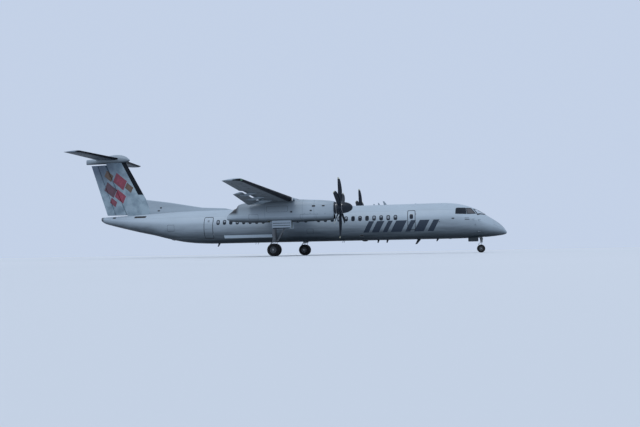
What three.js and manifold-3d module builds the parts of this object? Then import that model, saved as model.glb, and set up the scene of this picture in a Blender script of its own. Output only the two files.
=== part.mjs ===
// A high-wing, T-tailed twin turboprop airliner, parked on its wheels with its flaps part way out.
// Units are millimetres. +X is forward, +Y is to port and +Z is up.
// The origin is on the ground, under the middle of the overall length.
// A station is a distance aft of the nose tip, so x = OVERALL_LENGTH / 2 - station.
import * as THREE from "three";
import { mergeVertices } from "three/addons/utils/BufferGeometryUtils.js";
import Module from "manifold-3d";

const wasm = await Module();
wasm.setup();

// Driving dimensions
const OVERALL_LENGTH = 32830;
const BELLY = 1020; // height of the parallel fuselage's underside over the ground
const CROWN = 3600;
const FUSELAGE_HALF_WIDTH = 1345;
const GAP = 0.3; // between pieces that touch
const HINGE_GAP = 14; // in front of an aileron or elevator
const RUDDER_GAP = 30; // more, because the rudder's hinge line is swept

const WING = {
  frontStation: 14100, // leading edge of the parallel centre section
  height: 3800,
  chord: 2750,
  breakY: 4400, // where the taper and the dihedral start, inside the nacelle
  tipY: 14000,
  tipCap: 210,
  tipFrontStation: 14570,
  tipChord: 1260,
  dihedral: THREE.MathUtils.degToRad(2.5),
  thickness: 0.17,
  tipThickness: 0.14,
  camber: 0.025,
};
const FLAP = {
  chordShare: 0.34,
  front: 0.88, // where the flap's nose lies, as a share of the wing chord
  drop: 0.062, // how far its nose hangs below the wing's chord line, likewise
  angle: THREE.MathUtils.degToRad(8),
  thickness: 0.15,
  camber: 0.02,
  lip: 0.72, // where the wing's lower skin ends
  shroud: 0.925, // where its upper skin ends
  lipRoom: 0.045, // how far below the upper skin the cove's roof lies, at the lip
  shroudRoom: 0.013, // and at the shroud
};
const FLAP_SPANS = { inboard: [1440, 3700], outboard: [5110, 9960] };
const AILERON = { from: 10010, to: 13850, hinge: 0.76 };

const FIN = {
  rootHeight: 3300,
  topHeight: 7590,
  reach: 7720, // top of the fixed fin's shape, inside the fairing that cuts it
  rootFront: 26780,
  rootRear: 30880,
  topFront: 29300,
  topRear: 32420,
  thickness: 0.12,
  hinge: 0.6,
  tabHinge: 0.83,
};
const RUDDER = { bottom: 3440, top: 7530 };

const TAIL = {
  height: 8000,
  tipY: 4560,
  tipCap: 75,
  capChord: 0.74, // chord and thickness at the end of the tip cap, as shares of the tip's
  capThickness: 0.5,
  capSweep: 0.25,
  rootFront: 29850,
  tipFront: 30430,
  rear: 31890,
  thickness: 0.11,
  hingeStation: 31250,
  elevatorFrom: 300,
  elevatorTo: 4540,
  innerRoom: 40, // between the tailplane and each end of an elevator
  outerRoom: 12,
};

const ENGINE_Y = 4400;
const PROPELLER = {
  station: 11060,
  height: 3200,
  blades: 6,
  hubRadius: 265,
  hubHalfLength: 170,
  shaftRadius: 110,
  shaftLength: 640,
};
const SPINNER = { tipStation: 10190, rearStation: 11400, radius: 395, cuffRadius: 112 };

const MAIN_GEAR = {
  station: 15700,
  tyreRadius: 436,
  tyreWidth: 270,
  rimRadius: 222,
  wheelY: 238, // from the leg to the middle of each tyre
  axleRadius: 52,
};
const NOSE_GEAR = {
  station: 1750,
  trail: 40,
  tyreRadius: 283,
  tyreWidth: 168,
  rimRadius: 140,
  wheelY: 178,
  axleRadius: 34,
};
const WHEEL_SIDES = 26;
const DOOR = {
  front: 5020,
  rear: 5790,
  sill: 1480,
  head: 3080,
  thickness: 90,
  clearance: 8, // between the door and its frame
  headClearance: 16, // more above it, where the door's inner edge swings out
};

// Flat pads that a jack bears on: a station and the height of the pad's face
const JACK_PAD = { radius: 85, height: 130, nose: [3900, 1000], nacelle: [17200, 2320] };

// Colours: one material for each finish
const finish = (color, roughness, metalness = 0) =>
  new THREE.MeshStandardMaterial({ color, roughness, metalness });
const PAINT = finish(0xb9c8d4, 0.35);
const WING_GREY = finish(0x8d989f, 0.5);
const FIN_PAINT = finish(0x8aa3b0, 0.4);
const GLASS = finish(0x1a2028, 0.08);
const BLADE_BLACK = finish(0x1b2026, 0.45);
const GEAR_GREY = finish(0x9aa0a4, 0.45, 0.3);
const RIM_GREY = finish(0x8b8f92, 0.4, 0.6);
const TYRE_RUBBER = finish(0x17191b, 0.9);
const HOT_METAL = finish(0x4a4440, 0.55, 0.8);
const ENGINE_METAL = finish(0x70757a, 0.5, 0.7);

// Small tools
const X = (station) => OVERALL_LENGTH / 2 - station;
const mix = THREE.MathUtils.lerp;
const vec = (x, y, z) => new THREE.Vector3(x, y, z);

function solid(geometry) {
  const plain = geometry.index ? geometry.toNonIndexed() : geometry;
  const bare = new THREE.BufferGeometry();
  bare.setAttribute("position", plain.getAttribute("position"));
  const merged = mergeVertices(bare, 1e-3);
  return new wasm.Manifold(
    new wasm.Mesh({
      numProp: 3,
      vertProperties: merged.attributes.position.array,
      triVerts: new Uint32Array(merged.index.array),
    }),
  );
}

function geometryOf(body) {
  const { vertProperties, triVerts } = body.getMesh();
  const geometry = new THREE.BufferGeometry();
  geometry.setAttribute("position", new THREE.BufferAttribute(vertProperties, 3));
  geometry.setIndex(new THREE.BufferAttribute(triVerts, 1));
  geometry.computeVertexNormals();
  return geometry;
}

const join = (...bodies) => bodies.reduce((all, one) => all.add(one));
const cut = (body, ...tools) => tools.reduce((left, tool) => left.subtract(tool), body);

// Triangles that fill a flat ring, turning the way that the ring runs.
function fillRing(ring) {
  const normal = vec(0, 0, 0);
  ring.forEach((p, i) => {
    const q = ring[(i + 1) % ring.length];
    normal.add(p.clone().cross(q));
  });
  normal.normalize();
  const u = (Math.abs(normal.x) > 0.9 ? vec(0, 1, 0) : vec(1, 0, 0)).cross(normal).normalize();
  const v = normal.clone().cross(u);
  const flat = ring.map((p) => new THREE.Vector2(p.dot(u), p.dot(v)));
  return THREE.ShapeUtils.triangulateShape(flat, []);
}

// Skins a row of rings that all have as many points. Ends are filled flat, or the first runs to a tip.
function loft(rings, firstTip) {
  const sides = rings[0].length;
  const points = rings.flat();
  const faces = [];
  for (let r = 0; r < rings.length - 1; r++) {
    for (let i = 0; i < sides; i++) {
      const a = r * sides + i;
      const b = r * sides + ((i + 1) % sides);
      faces.push([a, b, b + sides], [a, b + sides, a + sides]);
    }
  }
  const lastStart = (rings.length - 1) * sides;
  if (firstTip) {
    points.push(firstTip);
    for (let i = 0; i < sides; i++) faces.push([points.length - 1, (i + 1) % sides, i]);
  } else {
    fillRing(rings[0]).forEach(([a, b, c]) => faces.push([c, b, a]));
  }
  fillRing(rings.at(-1)).forEach((face) => faces.push(face.map((i) => lastStart + i)));
  const volume = faces.reduce((sum, [a, b, c]) => {
    return sum + points[a].dot(points[b].clone().cross(points[c]));
  }, 0);
  const outward = volume > 0 ? faces : faces.map(([a, b, c]) => [c, b, a]);
  const geometry = new THREE.BufferGeometry().setFromPoints(points);
  geometry.setIndex(outward.flat());
  return solid(geometry);
}

function jackPad([station, height], y) {
  const face = vec(X(station), y, height);
  return bar(face, face.clone().setZ(height + JACK_PAD.height), JACK_PAD.radius);
}

function box(low, high) {
  const size = high.clone().sub(low);
  const geometry = new THREE.BoxGeometry(size.x, size.y, size.z);
  const middle = low.clone().add(high).multiplyScalar(0.5);
  return solid(geometry.translate(middle.x, middle.y, middle.z));
}

// A round bar from one point to another, tapered if the second radius differs.
function bar(from, to, radius, endRadius = radius, sides = 12) {
  const along = to.clone().sub(from);
  const geometry = new THREE.CylinderGeometry(endRadius, radius, along.length(), sides);
  const turn = new THREE.Quaternion().setFromUnitVectors(vec(0, 1, 0), along.clone().normalize());
  const middle = from.clone().add(to).multiplyScalar(0.5);
  geometry.applyQuaternion(turn);
  return solid(geometry.translate(middle.x, middle.y, middle.z));
}

// A smooth curve through a table's rows: slopes that never overshoot between two rows.
function tableCurve(rows) {
  const rise = (i, column) => (rows[i + 1][column] - rows[i][column]) / (rows[i + 1][0] - rows[i][0]);
  const slope = (i, column) => {
    if (i === 0) return rise(0, column);
    if (i === rows.length - 1) return rise(i - 1, column);
    const [before, after] = [rise(i - 1, column), rise(i, column)];
    return before * after <= 0 ? 0 : (2 * before * after) / (before + after);
  };
  return (at) => {
    let i = 0;
    while (i < rows.length - 2 && at > rows[i + 1][0]) i++;
    const span = rows[i + 1][0] - rows[i][0];
    const t = Math.min(Math.max((at - rows[i][0]) / span, 0), 1);
    const value = (column) => {
      const [p0, p1] = [rows[i][column], rows[i + 1][column]];
      const [m0, m1] = [slope(i, column) * span, slope(i + 1, column) * span];
      const [t2, t3] = [t * t, t * t * t];
      return (
        (2 * t3 - 3 * t2 + 1) * p0 +
        (t3 - 2 * t2 + t) * m0 +
        (3 * t2 - 2 * t3) * p1 +
        (t3 - t2) * m1
      );
    };
    return rows[i].slice(1).map((_, column) => value(column + 1));
  };
}

// A rounded cross-section: bottom and top heights, half width, where it is widest, and how square.
function roundRing(station, y, bottom, top, halfWidth, { widest = 0.5, lower = 2, upper = 2 }, sides) {
  const middle = mix(bottom, top, widest);
  return Array.from({ length: sides }, (_, i) => {
    const angle = (2 * Math.PI * i) / sides;
    const [c, s] = [Math.cos(angle), Math.sin(angle)];
    const power = 2 / (s >= 0 ? upper : lower);
    const reach = s >= 0 ? top - middle : middle - bottom;
    return vec(
      X(station),
      y + Math.sign(c) * Math.abs(c) ** power * halfWidth,
      middle + Math.sign(s) * Math.abs(s) ** power * reach,
    );
  });
}

// Fuselage: station, bottom, top, half width
const FUSELAGE_ROWS = [
  [40, 1290, 1500, 105],
  [200, 1232, 1735, 275],
  [500, 1180, 2040, 465],
  [950, 1130, 2365, 690],
  [1450, 1090, 2690, 890],
  [2050, 1060, 3070, 1065],
  [2750, 1032, 3350, 1200],
  [3500, 1022, 3530, 1290],
  [4300, BELLY, 3592, 1335],
  [5000, BELLY, CROWN, FUSELAGE_HALF_WIDTH],
  [21600, BELLY, CROWN, FUSELAGE_HALF_WIDTH],
  [23000, 1065, 3598, 1330],
  [24150, 1180, 3580, 1280],
  [25500, 1450, 3540, 1170],
  [26750, 1760, 3480, 1020],
  [28000, 2020, 3430, 850],
  [29200, 2300, 3380, 650],
  [30400, 2600, 3335, 430],
  [31100, 2800, 3310, 270],
  [31400, 2980, 3295, 150],
];
const FUSELAGE_SIDES = 32;
const FUSELAGE_FORM = { widest: 0.479, lower: 2.2 };
const NOSE_TIP = vec(X(0), 0, 1400);
const fuselageAt = tableCurve(FUSELAGE_ROWS);

function fuselageRing(station, shrink = 0) {
  const [bottom, top, half] = fuselageAt(station);
  const sizes = [bottom + shrink, top - shrink, half - shrink];
  return roundRing(station, 0, ...sizes, FUSELAGE_FORM, FUSELAGE_SIDES);
}

// One length of the fuselage between two stations, with a ring at each station of the list.
function fuselageLength(stations, { shrink = 0, firstTip } = {}) {
  return loft(stations.map((station) => fuselageRing(station, shrink)), firstTip);
}

// The lengths that the fuselage is built from: name, then the stations of its rings
const FUSELAGE_LENGTHS = [
  ["radome", [40, 110, 200, 340, 500, 720, 950]],
  ["nose_section", [950, 1200, 1450, 1750, 2050, 2400, 2750, 3120, 3500, 3900, 4300]],
  ["forward_fuselage", [4300, 4650, 5000, 7400]],
  ["centre_fuselage", [7400, 20200]],
  ["aft_fuselage", [20200, 21600, 22300, 23000, 23600, 24150, 24800, 25500, 26100]],
  ["tail_cone", [26100, 26750, 27400, 28000, 28600, 29200, 29800, 30400, 30800, 31100, 31300, 31400]],
];

// Wing planform at a distance y from the middle: front edge x, height, chord and thickness
function wingAt(y) {
  const out = Math.max(0, (y - WING.breakY) / (WING.tipY - WING.breakY));
  const chord = mix(WING.chord, WING.tipChord, out);
  return {
    front: X(mix(WING.frontStation, WING.tipFrontStation, out)),
    height: WING.height + Math.max(0, y - WING.breakY) * Math.tan(WING.dihedral),
    chord,
    thickness: mix(WING.thickness * WING.chord, WING.tipThickness * WING.tipChord, out) / chord,
  };
}

// Aerofoil heights, all as shares of the chord
function halfThickness(u, thickness) {
  const front = 0.2969 * Math.sqrt(u) - 0.126 * u;
  const rear = -0.3516 * u ** 2 + 0.2843 * u ** 3 - 0.1015 * u ** 4;
  return 5 * thickness * (front + rear);
}
const CAMBER_PEAK = 0.4; // where the camber is greatest, as a share of the chord
function camberLine(u, camber) {
  const bend = 2 * CAMBER_PEAK * u - u * u;
  return u < CAMBER_PEAK
    ? (camber / CAMBER_PEAK ** 2) * bend
    : (camber / (1 - CAMBER_PEAK) ** 2) * (1 - 2 * CAMBER_PEAK + bend);
}

// Closed aerofoil outline from its rear edge over the top to the nose and back below.
function aerofoil(thickness, camber, steps = 10) {
  const shares = Array.from({ length: steps }, (_, i) => (1 - Math.cos((Math.PI * (i + 1)) / steps)) / 2);
  const skin = (u, sign) => [u, camberLine(u, camber) + sign * halfThickness(u, thickness)];
  const upper = shares.toReversed().map((u) => skin(u, 1));
  return [...upper, [0, 0], ...shares.map((u) => skin(u, -1))];
}

// Turns [share of chord, height share] outlines into a ring of the wing at y, on the given side.
function wingRing(y, side, outline, at = wingAt(y)) {
  return outline.map(([u, w]) => vec(at.front - u * at.chord, side * y, at.height + w * at.chord));
}

// Rings of the wing's tip cap: share of its reach, then share of the tip's chord left there
const TIP_CAP_ROWS = [
  [0.55, 0.9],
  [0.9, 0.66],
  [1, 0.4],
];
const TIP_CAP_SWEEP = 0.75; // share of the lost chord that is lost at the front
const TIP_CAP_EDGE = 0.35; // share of the thickness that stays at the very tip

function wingPanel(fromY, toY, side, { withTip = false } = {}) {
  const rings = [fromY, toY].map((y) => {
    const at = wingAt(Math.abs(y));
    return wingRing(y, side, aerofoil(at.thickness, WING.camber), at);
  });
  if (!withTip) return loft(rings);
  const tip = wingAt(WING.tipY);
  for (const [reach, left] of TIP_CAP_ROWS) {
    const front = tip.front - tip.chord * (1 - left) * TIP_CAP_SWEEP;
    const outline = aerofoil(tip.thickness * mix(TIP_CAP_EDGE, 1, left), WING.camber);
    const at = { ...tip, front, chord: tip.chord * left };
    rings.push(wingRing(WING.tipY + WING.tipCap * reach, side, outline, at));
  }
  return loft(rings);
}

// A tool as wide as a stretch of wing, with its outline in shares of the local chord.
function wingTool(fromY, toY, side, outlineAt) {
  return loft([fromY, toY].map((y) => wingRing(y, side, outlineAt(wingAt(y)))));
}

// Room at each end of a flap or aileron, and how far past a wing a cutting tool reaches, in chords
const END_ROOM = 10;
const PAST = { rear: 1.4, height: 0.5 };

function flapCove([fromY, toY], side) {
  return wingTool(fromY - END_ROOM, toY + END_ROOM, side, ({ thickness }) => {
    const skin = (u) => camberLine(u, WING.camber) + halfThickness(u, thickness);
    return [
      [FLAP.lip, -PAST.height],
      [FLAP.lip, skin(FLAP.lip) - FLAP.lipRoom],
      [FLAP.shroud, skin(FLAP.shroud) - FLAP.shroudRoom],
      [FLAP.shroud, PAST.height],
      [PAST.rear, PAST.height],
      [PAST.rear, -PAST.height],
    ];
  });
}

// A tool's outline: all that lies behind an edge.
const behind = (edge) => [
  [edge, -PAST.height],
  [edge, PAST.height],
  [PAST.rear, PAST.height],
  [PAST.rear, -PAST.height],
];

function aileronCove(side) {
  return wingTool(AILERON.from - END_ROOM, AILERON.to + END_ROOM, side, ({ chord, thickness }) => {
    return behind(AILERON.hinge - halfThickness(AILERON.hinge, thickness) - HINGE_GAP / chord);
  });
}

// A control surface's outline: a round nose about its hinge, then straight to its rear edge.
const NOSE_STEPS = 6;
function controlOutline(hinge, rear, centre, half) {
  const nose = half(hinge);
  const arc = Array.from({ length: NOSE_STEPS + 1 }, (_, i) => {
    const angle = -Math.PI / 2 - (Math.PI * i) / NOSE_STEPS;
    return [hinge + nose * Math.cos(angle), centre(hinge) + nose * Math.sin(angle)];
  });
  const middle = (hinge + rear) / 2;
  return [
    ...arc,
    [middle, centre(middle) + half(middle)],
    [rear, centre(rear) + half(rear)],
    [rear, centre(rear) - half(rear)],
    [middle, centre(middle) - half(middle)],
  ];
}

function aileron(side) {
  return wingTool(AILERON.from, AILERON.to, side, ({ thickness }) => {
    const centre = (u) => camberLine(u, WING.camber);
    return controlOutline(AILERON.hinge, 1, centre, (u) => halfThickness(u, thickness));
  });
}

// A flap with the arms that carry it, which reach forward under the wing. Arms are in shares of the chord.
const FLAP_ARM = { halfWidth: 45, front: 0.5, rear: 1.06, depth: 0.075, skinRoom: 0.004, noseDepth: 0.045 };
const FLAP_ARM_PLACES = { inboard: [1900, 3250], outboard: [5700, 7500, 9350] };
function flap(where, side) {
  const [fromY, toY] = FLAP_SPANS[where];
  const body = wingTool(fromY, toY, side, () =>
    aerofoil(FLAP.thickness, FLAP.camber, 7).map(([u, w]) => {
      const [along, up] = [u * FLAP.chordShare, w * FLAP.chordShare];
      return [
        FLAP.front + along * Math.cos(FLAP.angle) + up * Math.sin(FLAP.angle),
        -FLAP.drop - along * Math.sin(FLAP.angle) + up * Math.cos(FLAP.angle),
      ];
    }),
  );
  const armRing = (y) => {
    const at = wingAt(y);
    const room = FLAP_ARM.skinRoom + (2 * GAP) / at.chord;
    const belly = (u) => camberLine(u, WING.camber) - halfThickness(u, at.thickness);
    const lip = FLAP.lip - 0.02;
    const outline = [
      [FLAP_ARM.front, belly(FLAP_ARM.front) - room],
      [lip, belly(lip) - room],
      [FLAP.front + 0.1, -FLAP.drop - FLAP_ARM.skinRoom],
      [FLAP_ARM.rear, -FLAP.drop - 0.035],
      [FLAP_ARM.rear, -FLAP.drop - 0.05],
      [FLAP.front, -FLAP.drop - FLAP_ARM.depth],
      [FLAP_ARM.front + 0.1, belly(FLAP_ARM.front) - FLAP_ARM.noseDepth],
    ];
    return wingRing(y, side, outline, at);
  };
  const arms = FLAP_ARM_PLACES[where].map((y) => {
    return loft([armRing(y - FLAP_ARM.halfWidth), armRing(y + FLAP_ARM.halfWidth)]);
  });
  return join(body, ...arms);
}

// Fin and rudders: rings lie flat, one for each height
function finAt(height) {
  const up = (height - FIN.rootHeight) / (FIN.topHeight - FIN.rootHeight);
  const front = mix(FIN.rootFront, FIN.topFront, up);
  return { front, chord: mix(FIN.rootRear, FIN.topRear, up) - front };
}
function finRing(height, outline) {
  const { front, chord } = finAt(height);
  return outline.map(([u, w]) => vec(X(front + u * chord), w * chord, height));
}
const finHalf = (u) => halfThickness(u, FIN.thickness);
const flatLine = () => 0;
const FIN_EDGE_ROOM = 0.03; // no point of the outline is nearer to the fin's rear edge

function fin() {
  const outline = (height) => {
    const edge = FIN.hinge - finHalf(FIN.hinge) - RUDDER_GAP / finAt(height).chord;
    const full = aerofoil(FIN.thickness, 0, 9).filter(([u]) => u < edge - FIN_EDGE_ROOM);
    return [[edge, finHalf(edge)], ...full, [edge, -finHalf(edge)]];
  };
  return loft([FIN.rootHeight, FIN.reach].map((height) => finRing(height, outline(height))));
}
function rudder(hinge, rear) {
  return loft([RUDDER.bottom, RUDDER.top].map((height) => {
    return finRing(height, controlOutline(hinge, rear(height), flatLine, finHalf));
  }));
}
const foreRudderRear = (height) => FIN.tabHinge - finHalf(FIN.tabHinge) - RUDDER_GAP / finAt(height).chord;

// Dorsal fin ahead of the fin: station, height, half thickness at the top. Its rear end lies inside the fin.
const DORSAL_ROWS = [
  [20300, 3590, 20],
  [20900, 3740, 30],
  [22800, 3850, 38],
  [25500, 4330, 42],
  [28000, 4690, 46],
];
const DORSAL_FOOT = { height: 3350, halfWidth: 165 };
const DORSAL_SHOULDER = { share: 0.55, swell: 2.1 }; // how high up, and how much wider than the top
function dorsalFin() {
  return loft(DORSAL_ROWS.map(([station, top, half]) => {
    const shoulder = mix(DORSAL_FOOT.height, top, DORSAL_SHOULDER.share);
    const rightHalf = [
      [DORSAL_FOOT.halfWidth, DORSAL_FOOT.height],
      [half * DORSAL_SHOULDER.swell, shoulder],
      [half, top - half],
    ];
    const leftHalf = rightHalf.toReversed().map(([y, z]) => [-y, z]);
    return [...rightHalf, [0, top], ...leftHalf].map(([y, z]) => vec(X(station), y, z));
  }));
}

// Tailplane and elevators: rings stand along the span
function tailAt(y) {
  const front = mix(TAIL.rootFront, TAIL.tipFront, y / TAIL.tipY);
  return { front, chord: TAIL.rear - front };
}
function tailRing(y, side, outline, { front, chord } = tailAt(y)) {
  return outline.map(([u, w]) => vec(X(front + u * chord), side * y, TAIL.height + w * chord));
}
const tailHalf = (u) => halfThickness(u, TAIL.thickness);
const elevatorHinge = (y) => (TAIL.hingeStation - tailAt(y).front) / tailAt(y).chord;

function tailplane() {
  const half = (side) => {
    const rings = [0, TAIL.tipY].map((y) => tailRing(y, side, aerofoil(TAIL.thickness, 0, 9)));
    const { front, chord } = tailAt(TAIL.tipY);
    const cap = { front: front + chord * TAIL.capSweep, chord: chord * TAIL.capChord };
    const capOutline = aerofoil(TAIL.thickness * TAIL.capThickness, 0, 9);
    rings.push(tailRing(TAIL.tipY + TAIL.tipCap, side, capOutline, cap));
    const cove = [TAIL.elevatorFrom - TAIL.innerRoom, TAIL.elevatorTo + TAIL.outerRoom].map((y) => {
      const hinge = elevatorHinge(y);
      return tailRing(y, side, behind(hinge - tailHalf(hinge) - HINGE_GAP / tailAt(y).chord));
    });
    return cut(loft(rings), loft(cove));
  };
  return join(half(1), half(-1));
}
function elevator(side) {
  return loft([TAIL.elevatorFrom, TAIL.elevatorTo].map((y) => {
    return tailRing(y, side, controlOutline(elevatorHinge(y), 1, flatLine, tailHalf));
  }));
}

// Fairing over the crossing of fin and tailplane: station, bottom, top, half width
const BULLET_ROWS = [
  [29080, 7770, 7965, 95],
  [29350, 7665, 8170, 215],
  [29800, 7625, 8310, 285],
  [30250, 7618, 8340, 290],
  [30900, 7625, 8270, 260],
  [31600, 7640, 8150, 200],
  [32300, 7640, 8090, 130],
  [32830, 7645, 8050, 60],
];
const BULLET_TIP = vec(X(29000), 0, 7862);
const BULLET_FORM = { lower: 2.4 };
function bullet(room = 0) {
  const rings = BULLET_ROWS.map(([station, bottom, top, half]) => {
    return roundRing(station, 0, bottom - room, top + room, half + room, BULLET_FORM, 20);
  });
  return loft(rings, BULLET_TIP);
}

// Fairing over the wing's centre: station, top, half width
const SADDLE_ROWS = [
  [12500, 3640, 320],
  [13000, 3790, 700],
  [13600, 3990, 980],
  [14300, 4150, 1130],
  [15200, 4190, 1190],
  [16200, 4140, 1180],
  [17000, 3990, 1090],
  [17800, 3820, 900],
  [18700, 3655, 480],
];
const SADDLE_BOTTOM = 3150; // inside the fuselage, which cuts it
const SADDLE_FORM = { widest: 0.3, upper: 2.8, lower: 4 };
function wingSaddle() {
  return loft(SADDLE_ROWS.map(([station, top, half]) => {
    return roundRing(station, 0, SADDLE_BOTTOM, top, half, SADDLE_FORM, 28);
  }));
}

// Nacelle: station, bottom, top, half width. Its top falls away at the rear round the exhaust.
const NACELLE_ROWS = [
  [11450, 2470, 3640, 440],
  [11700, 2385, 3690, 510],
  [12200, 2345, 3745, 575],
  [13000, 2325, 3800, 625],
  [14200, 2320, 3860, 650],
  [15800, 2320, 3865, 650],
  [17000, 2340, 3800, 635],
  [17900, 2375, 3690, 580],
  [18200, 2395, 3600, 555],
  [18330, 2405, 3400, 540],
  [18600, 2430, 3200, 500],
  [18850, 2470, 3030, 440],
  [19030, 2560, 2860, 330],
];
const NACELLE_FORM = { widest: 0.5, lower: 2.5, upper: 2.5 };
const ENGINE = { radius: 345, front: 11760, rear: 14000, boreRadius: 385 };
const INTAKE = { halfWidth: 230, bottom: 2475, top: 2730, depth: 620 };
const WHEEL_BAY = { front: 14350, rear: 16080, halfWidth: 400, roof: 3000, below: 2000 };
const EXHAUST = {
  station: 18560, // middle of its mouth
  height: 3080,
  radius: 250,
  wall: 22,
  tilt: THREE.MathUtils.degToRad(38),
  depth: 700, // from the mouth to the end of the bore
  lip: 110, // how far the pipe stands out of the mouth
  floor: 60, // thickness of the pipe's closed end
};
const PAST_NACELLE = 50; // how far a tool reaches out of the nacelle's front

function exhaustBar(y, radius, start, end) {
  const along = vec(-Math.cos(EXHAUST.tilt), 0, Math.sin(EXHAUST.tilt));
  const mouth = vec(X(EXHAUST.station), y, EXHAUST.height);
  const at = (distance) => mouth.clone().addScaledVector(along, distance);
  return bar(at(start), at(end), radius, radius, 24);
}

function nacelle(side, wingShape) {
  const y = side * ENGINE_Y;
  const rings = NACELLE_ROWS.map(([station, bottom, top, half]) => {
    return roundRing(station, y, bottom, top, half, NACELLE_FORM, 24);
  });
  const front = X(NACELLE_ROWS[0][0]);
  const engineBore = bar(
    vec(front + PAST_NACELLE, y, PROPELLER.height),
    vec(X(ENGINE.rear), y, PROPELLER.height),
    ENGINE.boreRadius,
    ENGINE.boreRadius,
    28,
  );
  const intake = box(
    vec(front - INTAKE.depth, y - INTAKE.halfWidth, INTAKE.bottom),
    vec(front + PAST_NACELLE, y + INTAKE.halfWidth, INTAKE.top),
  );
  const bay = box(
    vec(X(WHEEL_BAY.rear), y - WHEEL_BAY.halfWidth, WHEEL_BAY.below),
    vec(X(WHEEL_BAY.front), y + WHEEL_BAY.halfWidth, WHEEL_BAY.roof),
  );
  const exhaustBore = exhaustBar(y, EXHAUST.radius + GAP, -EXHAUST.depth, EXHAUST.depth);
  const shell = cut(loft(rings), engineBore, intake, bay, exhaustBore, wingShape);
  return join(shell, jackPad(JACK_PAD.nacelle, y));
}

function engineBlock(side) {
  const y = side * ENGINE_Y;
  return bar(
    vec(X(ENGINE.rear) + GAP, y, PROPELLER.height),
    vec(X(ENGINE.front), y, PROPELLER.height),
    ENGINE.radius,
    ENGINE.radius,
    24,
  );
}

function exhaustPipe(side) {
  const y = side * ENGINE_Y;
  return cut(
    exhaustBar(y, EXHAUST.radius, -EXHAUST.depth + GAP, EXHAUST.lip),
    exhaustBar(y, EXHAUST.radius - EXHAUST.wall, -EXHAUST.depth + EXHAUST.floor, 2 * EXHAUST.lip),
  );
}

// Propeller blade: radius, chord, thickness, blade angle in degrees, how far it is swept back
const BLADE_ROWS = [
  [200, 150, 150, 60, 0],
  [330, 165, 120, 60, 0],
  [500, 215, 80, 57, -8],
  [800, 300, 58, 50, -18],
  [1150, 350, 44, 43, -18],
  [1500, 345, 33, 37, 8],
  [1780, 300, 25, 33, 45],
  [1960, 225, 18, 31, 90],
  [2055, 110, 11, 30, 140],
];

const BLADE_SIDES = 8;
const BLADE_NOSE = 0.45; // how much thicker the blade's front half is than its rear half

// One blade, pointing up from a hub at the origin that turns about the x axis.
function blade() {
  return loft(BLADE_ROWS.map(([radius, chord, thickness, degrees, sweep]) => {
    const angle = THREE.MathUtils.degToRad(degrees);
    return Array.from({ length: BLADE_SIDES }, (_, i) => {
      const turn = (2 * Math.PI * i) / BLADE_SIDES;
      const along = (chord / 2) * Math.cos(turn) - sweep;
      const across = (thickness / 2) * Math.sin(turn) * (1 + BLADE_NOSE * Math.cos(turn));
      return vec(
        along * Math.sin(angle) + across * Math.cos(angle),
        along * Math.cos(angle) - across * Math.sin(angle),
        radius,
      );
    });
  }));
}

function bladeCopies(one) {
  const step = 360 / PROPELLER.blades;
  return Array.from({ length: PROPELLER.blades }, (_, i) => one.rotate([i * step, 0, 0]));
}

// Hub, blades and the short shaft behind them, about the propeller's centre.
function propeller() {
  const { hubRadius, hubHalfLength, shaftRadius, shaftLength } = PROPELLER;
  const hub = bar(vec(-hubHalfLength, 0, 0), vec(hubHalfLength, 0, 0), hubRadius, hubRadius, 24);
  const shaft = bar(vec(-shaftLength, 0, 0), vec(0, 0, 0), shaftRadius);
  return join(hub, shaft, ...bladeCopies(blade()));
}

// Spinner shell: distance ahead of its rear face and radius, as shares of its size
const SPINNER_SHARES = [
  [0, 0],
  [0, 1],
  [0.3, 1],
  [0.5, 0.9],
  [0.7, 0.7],
  [0.86, 0.44],
  [0.96, 0.2],
  [1, 0],
];
function spinner() {
  const length = SPINNER.rearStation - SPINNER.tipStation;
  const rear = PROPELLER.station - SPINNER.rearStation;
  const profile = SPINNER_SHARES.map(([along, out]) => {
    return new THREE.Vector2(out * SPINNER.radius, along * length);
  });
  const shell = solid(new THREE.LatheGeometry(profile, 20).rotateZ(-Math.PI / 2).translate(rear, 0, 0));
  const hubRadius = PROPELLER.hubRadius + GAP;
  const hubRoom = bar(
    vec(1.1 * rear, 0, 0),
    vec(PROPELLER.hubHalfLength + GAP, 0, 0),
    hubRadius,
    hubRadius,
    24,
  );
  const { cuffRadius } = SPINNER;
  const cuffs = bladeCopies(bar(vec(0, 0, 0), vec(0, 0, 2 * SPINNER.radius), cuffRadius, cuffRadius, 10));
  return cut(shell, hubRoom, ...cuffs);
}

// A tyre and a rim are turned about the y axis and have a flat at the bottom, so that they stand still.
function turned(profile) {
  const points = profile.map(([radius, y]) => new THREE.Vector2(radius, y));
  const geometry = new THREE.LatheGeometry([...points, points[0]], WHEEL_SIDES);
  return solid(geometry.rotateY(Math.PI / WHEEL_SIDES));
}
const axleHeight = (gear) => gear.tyreRadius * Math.cos(Math.PI / WHEEL_SIDES);

// Half of a tyre's section: share of the way from rim to tread, then share of the tyre's width
const TYRE_ROWS = [
  [0, 0.36],
  [0.3, 0.48],
  [0.62, 0.49],
  [0.9, 0.38],
  [1, 0.22],
];
function tyre({ tyreRadius, rimRadius, tyreWidth }) {
  const half = TYRE_ROWS.map(([out, wide]) => [mix(rimRadius + GAP, tyreRadius, out), wide * tyreWidth]);
  return turned([...half.map(([radius, y]) => [radius, -y]), ...half.toReversed()]);
}

// Section of a rim: share of its radius, then share of its half width, outboard above zero
const RIM_ROWS = [
  [0, -1],
  [1, -1],
  [1, 1],
  [0.86, 1],
  [0.72, 0.35],
  [0.42, 0.35],
  [0, 0.8],
];

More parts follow.
